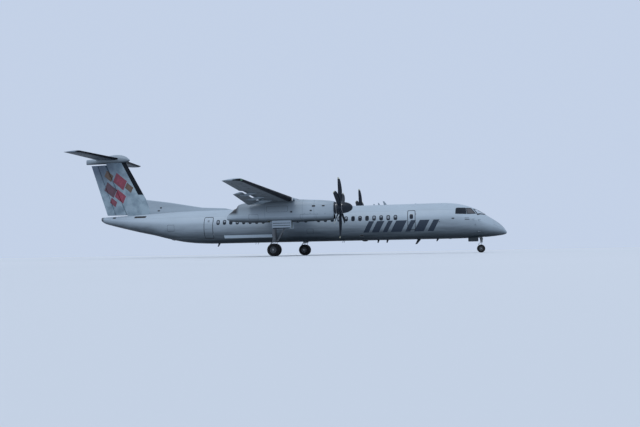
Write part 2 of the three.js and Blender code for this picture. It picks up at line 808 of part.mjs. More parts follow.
// Both rims of an axle with the axle that joins them.
function wheelPair(gear) {
  const { rimRadius, tyreWidth, wheelY } = gear;
  const halfWidth = tyreWidth * TYRE_ROWS[0][1];
  const oneRim = (side) =>
    turned(RIM_ROWS.map(([out, wide]) => [out * rimRadius, wide * halfWidth]))
      .rotate([side > 0 ? 0 : 180, 0, 0])
      .translate([0, side * wheelY, 0]);
  const axle = bar(vec(0, -wheelY, 0), vec(0, wheelY, 0), gear.axleRadius, gear.axleRadius, 20);
  return join(oneRim(1), oneRim(-1), axle);
}

// A sleeve with a bore that an axle turns in, with room all round it.
const BEARING_PLAY = 6;
function axleSleeve(gear, at, halfLength, wall) {
  const bore = gear.axleRadius + BEARING_PLAY;
  const along = (half, radius) => {
    const reach = vec(0, half, 0);
    return bar(at.clone().sub(reach), at.clone().add(reach), radius, radius, 24);
  };
  return { outer: along(halfLength, bore + wall), bore: along(1.2 * halfLength, bore) };
}

// Main leg: cylinder, chromed piston, torque links and the sleeve round the axle.
const MAIN_LEG = {
  cylinderRadius: 118,
  topRadius: 136,
  collarRadius: 148,
  pistonRadius: 78,
  collarHeight: 1010,
  collarLength: 150,
  lugHeight: 1070, // where the drag brace and the upper torque link meet the collar
  lugReach: 165,
  lugRadius: 60,
  kneeBack: 330, // the torque links' knee, behind the leg
  kneeHeight: 760,
  kneeHalfWidth: 70,
  linkRadii: [42, 34], // at the leg and at the knee
  sleeveHalf: 88,
  sleeveWall: 34,
};
function mainLeg(side) {
  const y = side * ENGINE_Y;
  const x = X(MAIN_GEAR.station);
  const leg = MAIN_LEG;
  const foot = vec(x, y, axleHeight(MAIN_GEAR));
  const { outer, bore } = axleSleeve(MAIN_GEAR, foot, leg.sleeveHalf, leg.sleeveWall);
  const onAxis = (height) => vec(x, y, height);
  const knee = vec(x - leg.kneeBack, y, leg.kneeHeight);
  const [thick, thin] = leg.linkRadii;
  const linkFoot = foot.clone().setX(x - thick);
  const linkTop = vec(x - leg.pistonRadius, y, leg.lugHeight);
  const collarFoot = leg.collarHeight - leg.collarLength / 8;
  return cut(
    join(
      bar(foot, onAxis(leg.lugHeight), leg.pistonRadius),
      bar(onAxis(leg.collarHeight), onAxis(WHEEL_BAY.roof - GAP), leg.cylinderRadius, leg.topRadius),
      bar(onAxis(collarFoot), onAxis(collarFoot + leg.collarLength), leg.collarRadius),
      bar(linkFoot, knee, thick, thin, 10),
      bar(knee, linkTop, thin, thick, 10),
      bar(knee.clone().setY(y - leg.kneeHalfWidth), knee.clone().setY(y + leg.kneeHalfWidth), thick),
      bar(onAxis(leg.lugHeight), vec(x + leg.lugReach, y, leg.lugHeight), leg.lugRadius),
      outer,
    ),
    bore,
  );
}

// Drag brace: two arms that spread from the leg's collar to the front corners of the bay.
const MAIN_BRACE = {
  footAhead: 235, // of the leg's axis
  topBehind: 120, // the bay's front wall
  topHeight: 2720,
  kneeShare: 0.52,
  footHalf: 75,
  kneeHalf: 150,
  armHalf: [105, 260], // half of the arms' spread, at the knee and at the top
  pinRadius: 62,
  strutRadius: 56,
  armRadius: 48,
};
function mainBrace(side) {
  const y = side * ENGINE_Y;
  const { footHalf, kneeHalf, armHalf, pinRadius, strutRadius, armRadius } = MAIN_BRACE;
  const foot = vec(X(MAIN_GEAR.station) + MAIN_BRACE.footAhead, y, MAIN_LEG.lugHeight);
  const top = vec(X(WHEEL_BAY.front) - MAIN_BRACE.topBehind, y, MAIN_BRACE.topHeight);
  const knee = foot.clone().lerp(top, MAIN_BRACE.kneeShare);
  const aside = (point, by) => point.clone().setY(y + by);
  const pin = (point, half) => bar(aside(point, -half), aside(point, half), pinRadius, pinRadius, 14);
  const arm = (half) => bar(aside(knee, half * armHalf[0]), aside(top, half * armHalf[1]), armRadius);
  return join(
    pin(foot, footHalf),
    bar(foot, knee, strutRadius),
    pin(knee, kneeHalf),
    arm(-1),
    arm(1),
    pin(top, WHEEL_BAY.halfWidth - GAP),
  );
}

// Main gear door: it hangs from one long side of the wheel bay.
const MAIN_DOOR = { front: 14400, rear: 15740, bottom: 1850, top: 2620, thickness: 34 };
const MAIN_DOOR_CORNERS = { rear: [110, 120], front: [70, 90] }; // how much is cut off below, along and up
function mainDoor(side, edge) {
  const outer = side * ENGINE_Y + edge * (WHEEL_BAY.halfWidth - GAP);
  const inner = outer - edge * MAIN_DOOR.thickness;
  const [rear, front] = [X(MAIN_DOOR.rear), X(MAIN_DOOR.front)];
  const { rear: rearCut, front: frontCut } = MAIN_DOOR_CORNERS;
  const corners = [
    [rear, MAIN_DOOR.top],
    [rear, MAIN_DOOR.bottom + rearCut[1]],
    [rear + rearCut[0], MAIN_DOOR.bottom],
    [front - frontCut[0], MAIN_DOOR.bottom],
    [front, MAIN_DOOR.bottom + frontCut[1]],
    [front, MAIN_DOOR.top],
  ];
  const outline = new THREE.Shape(corners.map(([x, z]) => new THREE.Vector2(x, z)));
  const panel = new THREE.ExtrudeGeometry(outline, { depth: MAIN_DOOR.thickness, bevelEnabled: false });
  return solid(panel.rotateX(Math.PI / 2).translate(0, Math.max(outer, inner), 0));
}

// Nose gear: a cylinder fixed in the bay, and a piston with torque links and axle sleeve that steers.
const NOSE_BAY = { front: 1500, rear: 2720, halfWidth: 235, roof: 1640, below: 700 };
const NOSE_LEG = {
  cylinderRadius: 88,
  boreRadius: 60,
  boreRoom: 20, // above the piston's top
  bottom: 800,
  collar: { radius: 107, from: 890, to: 1030 },
  strut: { radius: 36, height: 1000, anchorAhead: 180, anchorHeight: 1480, pinRadius: 44 },
};
const NOSE_FORK = {
  pistonRadius: 52,
  pistonTop: 1180,
  shoulder: 120, // how far above the axle the piston starts
  collar: { radius: 84, from: 705, to: 788 },
  kneeBack: 225,
  kneeHeight: 590,
  linkRadii: [26, 22],
  linkTop: 745,
  sleeveHalf: 72,
  sleeveWall: 24,
};
function noseLeg() {
  const x = X(NOSE_GEAR.station);
  const { cylinderRadius, boreRadius, bottom, collar, strut } = NOSE_LEG;
  const onAxis = (height) => vec(x, 0, height);
  const anchor = vec(X(NOSE_BAY.rear) + strut.anchorAhead, 0, strut.anchorHeight);
  const half = NOSE_BAY.halfWidth - GAP;
  const body = join(
    bar(onAxis(bottom), onAxis(NOSE_BAY.roof - GAP), cylinderRadius),
    bar(onAxis(collar.from), onAxis(collar.to), collar.radius),
    bar(vec(x - boreRadius, 0, strut.height), anchor, strut.radius),
    bar(anchor.clone().setY(-half), anchor.clone().setY(half), strut.pinRadius),
  );
  const boreTop = NOSE_FORK.pistonTop + NOSE_LEG.boreRoom;
  return cut(body, bar(onAxis(bottom - boreRadius), onAxis(boreTop), boreRadius, boreRadius, 24));
}
function noseFork() {
  const x = X(NOSE_GEAR.station);
  const { pistonRadius, shoulder, collar, linkRadii, linkTop, sleeveHalf, sleeveWall } = NOSE_FORK;
  const foot = vec(x - NOSE_GEAR.trail, 0, axleHeight(NOSE_GEAR));
  const { outer, bore } = axleSleeve(NOSE_GEAR, foot, sleeveHalf, sleeveWall);
  const knee = vec(x - NOSE_FORK.kneeBack, 0, NOSE_FORK.kneeHeight);
  const [thick, thin] = linkRadii;
  return cut(
    join(
      bar(vec(x, 0, foot.z + shoulder / 4), vec(x, 0, NOSE_FORK.pistonTop), pistonRadius),
      bar(foot, vec(x, 0, foot.z + shoulder), pistonRadius, pistonRadius, 14),
      bar(vec(x - thick, 0, foot.z + (3 / 4) * shoulder), knee, thick, thin, 10),
      bar(knee, vec(x - pistonRadius, 0, linkTop), thin, thick, 10),
      bar(vec(x, 0, collar.from), vec(x, 0, collar.to), collar.radius),
      outer,
    ),
    bore,
  );
}
const NOSE_DOOR = { front: 1960, rear: 2660, bottom: 790, top: 1330, thickness: 26 };
function noseDoor(side) {
  const outer = side * (NOSE_BAY.halfWidth - GAP);
  const inner = outer - side * NOSE_DOOR.thickness;
  return box(
    vec(X(NOSE_DOOR.rear), Math.min(outer, inner), NOSE_DOOR.bottom),
    vec(X(NOSE_DOOR.front), Math.max(outer, inner), NOSE_DOOR.top),
  );
}

// Cockpit glazing: side-view outline of the band of windows, as station and height
const GLAZING_OUTLINE = [
  [1250, 2655],
  [2050, 2715],
  [2800, 2765],
  [3440, 2795],
  [3400, 3155],
  [2750, 3180],
  [2250, 3150],
  [1980, 3105],
  [1250, 3105],
];
const GLAZING_DEPTH = 34;
const GLAZING_MIDDLE = [2500, 2950];
const CORE_MARGIN = 30; // how far the core that hollows the glazing runs past its ends
function glazingPrism(shrink) {
  const middle = new THREE.Vector2(X(GLAZING_MIDDLE[0]), GLAZING_MIDDLE[1]);
  const outline = GLAZING_OUTLINE.map(([station, height]) => {
    const point = new THREE.Vector2(X(station), height);
    return point.add(middle.clone().sub(point).normalize().multiplyScalar(shrink));
  });
  const width = 3 * FUSELAGE_HALF_WIDTH;
  const prism = new THREE.ExtrudeGeometry(new THREE.Shape(outline), { depth: width, bevelEnabled: false });
  return solid(prism.rotateX(Math.PI / 2).translate(0, width / 2, 0));
}

const NOSE_STATIONS = FUSELAGE_LENGTHS[1][1];
function noseCore(depth) {
  const [front, rear] = [NOSE_STATIONS[0] - CORE_MARGIN, NOSE_STATIONS.at(-1) + CORE_MARGIN];
  return fuselageLength([front, ...NOSE_STATIONS.slice(1, -1), rear], { shrink: depth });
}
function cockpitGlazing() {
  return cut(fuselageLength(NOSE_STATIONS).intersect(glazingPrism(GAP)), noseCore(GLAZING_DEPTH));
}
function glazingRecess() {
  return cut(glazingPrism(0), noseCore(GLAZING_DEPTH + GAP));
}

// Airstair door: a leaf as thick as the wall, hinged at its sill, with steps on its inner face.
const STAIR = {
  count: 5,
  rise: 255,
  first: 190, // the lowest step, above the sill
  depth: 170,
  tread: 34,
  halfWidth: 270,
  root: 60, // how deep a step reaches into the door
  skinRoom: 20, // between a step's root and the door's outer face
};
// The door's inner face leans in above and below a height, by these slopes.
const DOOR_LEAN = { height: 2250, above: 0.34, below: 0.12 };
const VESTIBULE_Y = 350; // its inner wall, from the middle of the cabin
const DOOR_LEAF_Y = 900; // nowhere is the door's leaf nearer to the middle
const DOOR_STATIONS = [4650, 5000, 7400];
const DOOR_CORE_STATIONS = [4600, 5000, 7450];

// The doorway as a tool, or a closer box round the door itself with its clearances.
function doorBox(fromY, clearance = 0, headClearance = 0) {
  return box(
    vec(X(DOOR.rear) + clearance, fromY, DOOR.sill + clearance),
    vec(X(DOOR.front) - clearance, 1.2 * FUSELAGE_HALF_WIDTH, DOOR.head - headClearance),
  );
}
function airstairDoor() {
  const leaf = cut(
    fuselageLength(DOOR_STATIONS).intersect(doorBox(DOOR_LEAF_Y, DOOR.clearance, DOOR.headClearance)),
    fuselageLength(DOOR_CORE_STATIONS, { shrink: DOOR.thickness }),
  );
  const middle = X((DOOR.front + DOOR.rear) / 2);
  const steps = Array.from({ length: STAIR.count }, (_, i) => {
    const height = DOOR.sill + STAIR.first + STAIR.rise * i;
    const past = height - DOOR_LEAN.height;
    const lean = past > 0 ? past * DOOR_LEAN.above : -past * DOOR_LEAN.below;
    const inner = FUSELAGE_HALF_WIDTH - DOOR.thickness - lean;
    return box(
      vec(middle - STAIR.halfWidth, inner - STAIR.depth, height),
      vec(middle + STAIR.halfWidth, inner + STAIR.root, height + STAIR.tread),
    );
  });
  const inside = fuselageLength(DOOR_STATIONS, { shrink: STAIR.skinRoom });
  return join(leaf, join(...steps).intersect(inside));
}

// Assembly
const aircraft = new THREE.Group();

function place(name, body, material, position = vec(0, 0, 0)) {
  const mesh = new THREE.Mesh(geometryOf(body), material);
  mesh.name = name;
  mesh.position.copy(position);
  aircraft.add(mesh);
}

const SIDES = { left: 1, right: -1 };
const noseBay = box(
  vec(X(NOSE_BAY.rear), -NOSE_BAY.halfWidth, NOSE_BAY.below),
  vec(X(NOSE_BAY.front), NOSE_BAY.halfWidth, NOSE_BAY.roof),
);
const fuselageCuts = {
  nose_section: () => [glazingRecess(), noseBay],
  forward_fuselage: () => [doorBox(VESTIBULE_Y)],
};

// Each length stops half a gap short of the next.
for (const [name, stations] of FUSELAGE_LENGTHS) {
  const ends = stations.map((station, i) => {
    if (i === 0 && name !== "radome") return station + GAP / 2;
    return i === stations.length - 1 && name !== "tail_cone" ? station - GAP / 2 : station;
  });
  const firstTip = name === "radome" ? NOSE_TIP : undefined;
  const body = cut(fuselageLength(ends, { firstTip }), ...(fuselageCuts[name]?.() ?? []));
  place(name, name === "nose_section" ? join(body, jackPad(JACK_PAD.nose, 0)) : body, PAINT);
}
place("cockpit_glazing", cockpitGlazing(), GLASS);
place("airstair_door", airstairDoor(), PAINT);

// What cuts the pieces that meet the fuselage is the fuselage, one gap larger.
const backStations = FUSELAGE_LENGTHS.slice(2).flatMap(([, stations]) => stations.slice(1));
const fuselageTool = fuselageLength([FUSELAGE_LENGTHS[2][1][0], ...backStations], { shrink: -GAP });
const centreWing = wingPanel(-WING.breakY + GAP / 2, WING.breakY - GAP / 2, 1);
const centreCoves = Object.values(SIDES).map((side) => flapCove(FLAP_SPANS.inboard, side));
place("wing_centre", cut(centreWing, fuselageTool, ...centreCoves), WING_GREY);

// The wing, thickened by two gaps all round, cuts what meets it.
function grownWing(side) {
  const grown = (y) => {
    const at = wingAt(y);
    const room = (2 * GAP) / at.chord;
    const outline = aerofoil(at.thickness, WING.camber).map(([u, w]) => {
      if (u === 0) return [-room, w];
      const lift = w >= camberLine(u, WING.camber) ? room : -room;
      return [u === 1 ? 1 + room : u, w + lift];
    });
    return wingRing(y, side, outline, at);
  };
  return loft([grown(0), grown(WING.breakY), grown(WING.tipY)]);
}

for (const [name, side] of Object.entries(SIDES)) {
  const outer = wingPanel(WING.breakY + GAP / 2, WING.tipY, side, { withTip: true });
  place(`wing_${name}`, cut(outer, flapCove(FLAP_SPANS.outboard, side), aileronCove(side)), WING_GREY);
  place(`aileron_${name}`, aileron(side), WING_GREY);
  for (const where of Object.keys(FLAP_SPANS)) place(`flap_${where}_${name}`, flap(where, side), WING_GREY);
}
place("wing_saddle", cut(wingSaddle(), fuselageTool, grownWing(1), grownWing(-1)), PAINT);

// What meets the fin or the tailplane is cut by a slightly thicker copy of it.
const THICKER = 0.001;
const grownAerofoil = (thickness) => {
  return aerofoil(thickness + THICKER, 0, 9).map(([u, w]) => [u === 0 ? -THICKER / 2 : u, w]);
};
const finTool = loft([0.9 * FIN.rootHeight, FIN.reach].map((height) => {
  return finRing(height, grownAerofoil(FIN.thickness));
}));
place("fin", cut(fin(), fuselageTool, bullet(GAP)), FIN_PAINT);
place("dorsal_fin", cut(dorsalFin(), fuselageTool, finTool), PAINT);
place("rudder_fore", rudder(FIN.hinge, foreRudderRear), FIN_PAINT);
place("rudder_trailing", rudder(FIN.tabHinge, () => 1), FIN_PAINT);
place("tailplane", tailplane(), WING_GREY);

// The elevators' bays stay filled in the copy, so that the fairing keeps clear of them.
const tailTools = Object.values(SIDES).map((side) => {
  return loft([0, TAIL.tipY].map((y) => tailRing(y, side, grownAerofoil(TAIL.thickness))));
});
place("tail_fairing", cut(bullet(), ...tailTools), PAINT);
for (const [name, side] of Object.entries(SIDES)) place(`elevator_${name}`, elevator(side), WING_GREY);

const propellerBody = propeller();
const spinnerBody = spinner();
const mainTyre = tyre(MAIN_GEAR);
const mainWheels = wheelPair(MAIN_GEAR);
for (const [name, side] of Object.entries(SIDES)) {
  place(`nacelle_${name}`, nacelle(side, grownWing(side)), PAINT);
  place(`engine_${name}`, engineBlock(side), ENGINE_METAL);
  place(`exhaust_${name}`, exhaustPipe(side), HOT_METAL);
  const hub = vec(X(PROPELLER.station), side * ENGINE_Y, PROPELLER.height);
  place(`propeller_${name}`, propellerBody, BLADE_BLACK, hub);
  place(`spinner_${name}`, spinnerBody, BLADE_BLACK, hub);
  place(`main_leg_${name}`, mainLeg(side), GEAR_GREY);
  place(`main_brace_${name}`, mainBrace(side), GEAR_GREY);
  const axle = vec(X(MAIN_GEAR.station), side * ENGINE_Y, axleHeight(MAIN_GEAR));
  place(`main_wheels_${name}`, mainWheels, RIM_GREY, axle);
  for (const [where, edge] of [["outer", side], ["inner", -side]]) {
    const middle = axle.clone().add(vec(0, edge * MAIN_GEAR.wheelY, 0));
    place(`main_tyre_${where}_${name}`, mainTyre, TYRE_RUBBER, middle);
    place(`main_door_${where}_${name}`, mainDoor(side, edge), PAINT);
  }
}

place("nose_leg", noseLeg(), GEAR_GREY);
place("nose_fork", noseFork(), GEAR_GREY);
const noseAxle = vec(X(NOSE_GEAR.station) - NOSE_GEAR.trail, 0, axleHeight(NOSE_GEAR));
place("nose_wheels", wheelPair(NOSE_GEAR), RIM_GREY, noseAxle);
const noseTyre = tyre(NOSE_GEAR);
for (const [name, side] of Object.entries(SIDES)) {
  const middle = noseAxle.clone().add(vec(0, side * NOSE_GEAR.wheelY, 0));
  place(`nose_tyre_${name}`, noseTyre, TYRE_RUBBER, middle);
  place(`nose_door_${name}`, noseDoor(side), PAINT);
}

export default aircraft;
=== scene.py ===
"""The looks of a high-wing, T-tailed twin turboprop airliner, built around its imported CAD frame.

Everything is in metres, with +X forward, +Y to port and +Z up.
A station is a distance aft of the nose tip, as in the frame's own plans.
"""
import math

import bmesh
import bpy
from mathutils import Matrix, Vector


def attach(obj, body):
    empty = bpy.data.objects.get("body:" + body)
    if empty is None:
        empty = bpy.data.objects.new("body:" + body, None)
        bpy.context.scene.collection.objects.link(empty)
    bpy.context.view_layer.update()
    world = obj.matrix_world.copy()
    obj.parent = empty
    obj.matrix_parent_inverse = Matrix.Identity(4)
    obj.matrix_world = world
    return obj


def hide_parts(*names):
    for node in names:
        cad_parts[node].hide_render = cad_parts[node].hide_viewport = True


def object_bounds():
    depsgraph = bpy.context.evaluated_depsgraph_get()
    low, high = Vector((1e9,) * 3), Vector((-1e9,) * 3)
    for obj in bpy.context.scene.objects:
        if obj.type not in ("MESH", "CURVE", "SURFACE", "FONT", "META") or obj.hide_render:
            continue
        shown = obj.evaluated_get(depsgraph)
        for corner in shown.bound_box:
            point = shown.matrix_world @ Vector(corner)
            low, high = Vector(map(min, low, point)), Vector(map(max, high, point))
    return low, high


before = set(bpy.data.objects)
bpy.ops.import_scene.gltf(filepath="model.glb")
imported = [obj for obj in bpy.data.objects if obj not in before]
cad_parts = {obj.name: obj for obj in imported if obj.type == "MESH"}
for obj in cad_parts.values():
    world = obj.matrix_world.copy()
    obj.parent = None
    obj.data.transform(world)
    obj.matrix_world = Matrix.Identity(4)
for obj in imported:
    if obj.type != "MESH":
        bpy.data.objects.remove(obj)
CAD_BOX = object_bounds()
NOSE_X = CAD_BOX[1][0]
SIDES = {"left": 1, "right": -1}
FORE, PORT, UP = Vector((1, 0, 0)), Vector((0, 1, 0)), Vector((0, 0, 1))


def x_at(station):
    return NOSE_X - station


def mix(a, b, t):
    return a + (b - a) * t


def clamp(value, low=0.0, high=1.0):
    return max(low, min(high, value))


def spread(low, high, count):
    return [mix(low, high, i / (count - 1)) for i in range(count)]


def around(count):
    """The angles of so many equal steps round a circle."""
    return [2 * math.pi * i / count for i in range(count)]


def quarter(count):
    """The angles of so many equal steps that end at a right angle."""
    return [math.pi / 2 * k / count for k in range(1, count + 1)]


# Materials

# A colour ramp holds 32 stops at most, and a band takes two
RAMP_BANDS = 15


class Finish:
    """A procedural material, built up node by node."""

    def __init__(self, name, color, roughness=0.5, metallic=0.0, coat=0.0, specular=0.5):
        self.material = bpy.data.materials.new(name)
        self.material.use_nodes = True
        self.tree = self.material.node_tree
        self.shader = self.tree.nodes["Principled BSDF"]
        self.paint = (*color, 1)
        settings = {
            "Base Color": self.paint,
            "Roughness": roughness,
            "Metallic": metallic,
            "Coat Weight": coat,
            "Coat Roughness": 0.12,
            "Specular IOR Level": specular,
        }
        for name, value in settings.items():
            self.feed(self.shader.inputs[name], value)
        self.place = self.tree.nodes.new("ShaderNodeTexCoord").outputs["Object"]
        self.axes = self.node("ShaderNodeSeparateXYZ", Vector=self.place).outputs

    def node(self, kind, settings=None, **inputs):
        """A new node. An input is named by its socket, or as _1, _2 by the socket's number."""
        made = self.tree.nodes.new(kind)
        for key, value in (settings or {}).items():
            setattr(made, key, value)
        for key, value in inputs.items():
            self.feed(made.inputs[int(key[1:]) if key[0] == "_" else key], value)
        return made

    def feed(self, socket, value):
        if isinstance(value, bpy.types.NodeSocket):
            self.tree.links.new(value, socket)
        else:
            socket.default_value = value

    def math(self, operation, *values):
        inputs = {f"_{i}": value for i, value in enumerate(values)}
        return self.node("ShaderNodeMath", {"operation": operation}, **inputs).outputs[0]

    def product(self, *values):
        made = values[0]
        for value in values[1:]:
            made = self.math("MULTIPLY", made, value)
        return made

    def noise(self, scale, detail=3.0, stretch=(1, 1, 1), roughness=0.55):
        spot = self.node("ShaderNodeMapping", Vector=self.place, Scale=stretch).outputs[0]
        settings = {"Vector": spot, "Scale": scale, "Detail": detail, "Roughness": roughness}
        return self.node("ShaderNodeTexNoise", **settings).outputs[0]

    def ramp(self, value, stops, smooth=True):
        """Maps 0 to 1 through stops of (place, grey)."""
        made = self.node("ShaderNodeValToRGB", Fac=value)
        ramp = made.color_ramp
        ramp.interpolation = "LINEAR" if smooth else "CONSTANT"
        while len(ramp.elements) < len(stops):
            ramp.elements.new(0.5)
        for element, (place, grey) in zip(ramp.elements, stops):
            element.position = place
            element.color = (grey, grey, grey, 1)
        return made.outputs[0]

    def bands(self, value, spans):
        """1 where the value lies inside one of the (low, high) spans, 0 elsewhere."""
        spans = sorted(spans)
        if len(spans) > RAMP_BANDS:
            parts = [self.bands(value, part) for part in (spans[:RAMP_BANDS], spans[RAMP_BANDS:])]
            return self.math("MAXIMUM", *parts)
        low, high = spans[0][0] - 1, spans[-1][1] + 1
        along = self.math("DIVIDE", self.math("SUBTRACT", value, low), high - low)
        stops = [(0.0, 0.0)]
        for start, end in spans:
            stops += [((start - low) / (high - low), 1.0), ((end - low) / (high - low), 0.0)]
        return self.ramp(along, stops, smooth=False)

    def lines(self, axis, places, width):
        """1 on thin lines across an axis at the given places, 0 elsewhere."""
        return self.bands(self.axes[axis], [(place - width / 2, place + width / 2) for place in places])

    def rise(self, value, start, full, low=0.0, high=1.0):
        """low up to a start, rising to high at full."""
        return self.node("ShaderNodeMapRange", Value=value, _1=start, _2=full, _3=low, _4=high).outputs[0]

    def facing_down(self, start, full):
        """0 where the normal's Z is above a start, rising to 1 where it is down at full."""
        normal = self.node("ShaderNodeTexCoord").outputs["Normal"]
        return self.rise(self.node("ShaderNodeSeparateXYZ", Vector=normal).outputs[2], start, full)

    def tint(self, color, *factors):
        """Lays a colour over what the finish has so far, by the product of sockets and numbers."""
        factor = self.product(*factors)
        made = self.node("ShaderNodeMix", {"data_type": "RGBA"}, _0=factor, _6=self.paint, _7=(*color, 1))
        self.paint = made.outputs[2]
        self.feed(self.shader.inputs["Base Color"], self.paint)

    def stain(self, noise, start, full, strength, color):
        """Tints the parts where a noise is high."""
        self.tint(color, self.ramp(noise, [(start, 0.0), (full, strength)]))

    def vary_roughness(self, value, low, high):
        self.feed(self.shader.inputs["Roughness"], self.rise(value, 0.3, 0.7, low, high))

    def bump(self, height, distance, strength=0.5):
        made = self.node("ShaderNodeBump", Strength=strength, Distance=distance, Height=height)
        self.feed(self.shader.inputs["Normal"], made.outputs[0])


def shade(color, factor):
    return tuple(c * factor for c in color)


SKIN = (0.365, 0.435, 0.495)
SEAM_DARK = (0.13, 0.165, 0.2)
UNDERSIDE_SHADE = (0.008, 0.017, 0.025)
# The normals' Z where the painted shade of an underside starts and where it is full
ROUND_UNDER_SHADE, SHARP_UNDER_SHADE = (0.3, -0.92), (-0.35, -0.97)


def skin_paint(name, color=SKIN, seams=(), rows=(), roughness=0.46, grime=0.25, under=ROUND_UNDER_SHADE):
    """Satin paint over sheet metal: faint waviness, panel seams, streaks and painted shade on the faces that
    look down.
    """
    made = Finish(name, color, roughness, coat=0.05, specular=0.15)
    blotches = made.noise(0.9, 4.0, (0.6, 1, 1))
    made.stain(blotches, 0.35, 0.75, 0.3, shade(color, 0.84))
    streaks = made.noise(3.0, 5.0, (0.12, 1, 1), 0.65)
    made.stain(streaks, 0.5, 0.8, grime, shade(color, 0.68))
    # Painted shade: faces that look down are tinted nearly black-blue, with the streaks darker still there.
    below = made.facing_down(*under)
    made.tint(UNDERSIDE_SHADE, below, 0.98)
    made.tint(shade(UNDERSIDE_SHADE, 0.7), made.ramp(streaks, [(0.35, 0.0), (0.65, 0.6)]), below)
    height = made.product(made.noise(2.6, 1.0), 0.4)
    for axis, places, width in [(0, seams, 0.012), (2, rows, 0.01)]:
        if places:
            seam = made.lines(axis, places, width)
            made.tint(SEAM_DARK, seam, 0.4)
            height = made.math("SUBTRACT", height, seam)
    made.vary_roughness(blotches, roughness - 0.05, roughness + 0.1)
    made.bump(height, 0.003, 0.35)
    return made


def plain_finish(name, color, roughness, metallic=0.0, variation=0.15, scale=6.0, bump=0.0, specular=0.5):
    """A finish of one colour with worn and dirtier patches."""
    made = Finish(name, color, roughness, metallic, specular=specular)
    patches = made.noise(scale, 5.0)
    made.stain(patches, 0.4, 0.75, variation * 2, shade(color, 0.6))
    made.vary_roughness(patches, roughness - 0.08, roughness + 0.1)
    if bump:
        made.bump(made.noise(scale * 12, 2.0), bump, 0.4)
    return made


def glass_finish(name, color):
    made = Finish(name, color, 0.09, specular=0.3)
    made.stain(made.noise(1.7, 2.0), 0.4, 0.8, 0.4, shade(color, 1.5))
    return made


def lens_finish(name, color, glow=0.0):
    made = Finish(name, color, 0.12, coat=0.8)
    made.stain(made.noise(40.0), 0.3, 0.8, 0.5, shade(color, 0.5))
    made.shader.inputs["Emission Color"].default_value = (*color, 1)
    made.shader.inputs["Emission Strength"].default_value = glow
    return made


def tyre_finish():
    made = Finish("tyre_rubber", (0.011, 0.012, 0.013), 0.85, specular=0.2)
    dust = made.noise(9.0, 5.0)
    made.stain(dust, 0.5, 0.85, 0.5, (0.045, 0.042, 0.038))
    made.vary_roughness(dust, 0.72, 0.9)
    made.bump(made.noise(160.0), 0.001, 0.5)
    return made


FUSELAGE_SEAMS = [x_at(s) for s in (4.3, 7.4, 9.0, 10.8, 11.9, 13.1, 15.2, 17.6, 20.2, 22.9)]
FUSELAGE_SEAMS += [x_at(s) for s in (24.5, 26.1, 28.2, 29.9)]
# Leaning bars along the cabin's lower side: first and last station of each at the bars' feet
BARS = [(5.05, 5.45), (5.72, 6.4), (6.66, 7.02), (7.3, 8.05), (8.3, 8.62), (8.9, 9.4), (9.62, 10.0)]
BAR_HEIGHTS = (1.56, 2.36)
BAR_LEAN = 0.55
BAR_COLOR = (0.014, 0.024, 0.042)
PALE_STRIP = {"stations": (16.85, 20.6), "heights": (1.38, 1.6)}
SOOTY_END = {"start": 31.12, "full": 31.3, "color": (0.03, 0.035, 0.042)}


def hull_finish():
    made = skin_paint("hull_paint", seams=FUSELAGE_SEAMS, rows=(1.45, 3.05))
    along, _, up = made.axes
    lean = made.product(made.math("SUBTRACT", up, BAR_HEIGHTS[0]), BAR_LEAN)
    bars = made.bands(made.math("SUBTRACT", along, lean), [(x_at(end), x_at(start)) for start, end in BARS])
    made.tint(BAR_COLOR, bars, made.bands(up, [BAR_HEIGHTS]), 0.92)
    first, last = PALE_STRIP["stations"]
    strip = made.bands(along, [(x_at(last), x_at(first))])
    made.tint(shade(SKIN, 1.4), strip, made.bands(up, [PALE_STRIP["heights"]]), 0.85)
    made.tint(SOOTY_END["color"], made.rise(along, x_at(SOOTY_END["start"]), x_at(SOOTY_END["full"])), 0.85)
    return made


HULL = hull_finish()
RADOME = skin_paint("radome_paint", shade(SKIN, 0.97), grime=0.35, roughness=0.5)
NACELLE_SEAMS = [x_at(s) for s in (11.75, 12.75, 13.55, 14.3, 16.2, 17.1, 17.9)]
# Where the wing's shade and the exhaust's soot come on: stations and heights
WING_SHADE = {"stations": (13.0, 14.6), "heights": (2.75, 3.3), "color": shade(SKIN, 0.42)}
EXHAUST_SOOT = {"stations": (18.05, 18.3), "heights": (2.85, 3.05), "color": (0.02, 0.02, 0.022)}


def nacelle_finish():
    # The skin's colour darkened by a tenth as painted shade, with a sharper painted shade along the
    # underside.
    color, rows = shade(SKIN, 0.9), (2.75, 3.38)
    made = skin_paint("nacelle_paint", color, NACELLE_SEAMS, rows, grime=0.45, under=SHARP_UNDER_SHADE)
    for area, strength in ((WING_SHADE, 0.75), (EXHAUST_SOOT, 0.92)):
        behind = made.rise(made.axes[0], *(x_at(s) for s in area["stations"]))
        above = made.rise(made.axes[2], *area["heights"])
        made.tint(area["color"], behind, above, strength)
    return made


NACELLE = nacelle_finish()
# The main gear doors' paint: the skin's colour a touch lighter, a painted light on their upright outer faces,
# with the sharper painted underside shade.
LIT_GEAR_DOOR = skin_paint("gear_door_lit_paint", shade(SKIN, 1.05), grime=0.35, under=SHARP_UNDER_SHADE)
# The nose gear doors' paint: the skin's colour darkened to the belly's tone, a painted shade.
SHADED_BELLY_DOOR = skin_paint("belly_door_shaded_paint", shade(SKIN, 0.16), grime=0.35)
TRIM = skin_paint("trim_paint", grime=0.2)
# The tail fairing's paint: the skin's colour darkened by a quarter, a painted shade.
SHADED_BULLET = skin_paint("tail_fairing_shaded_paint", shade(SKIN, 0.74), grime=0.3)
WING_SEAMS = [side * y for side in (1, -1) for y in (2.2, 3.6, 5.08, 6.7, 8.35, 9.98, 11.9, 13.6)]


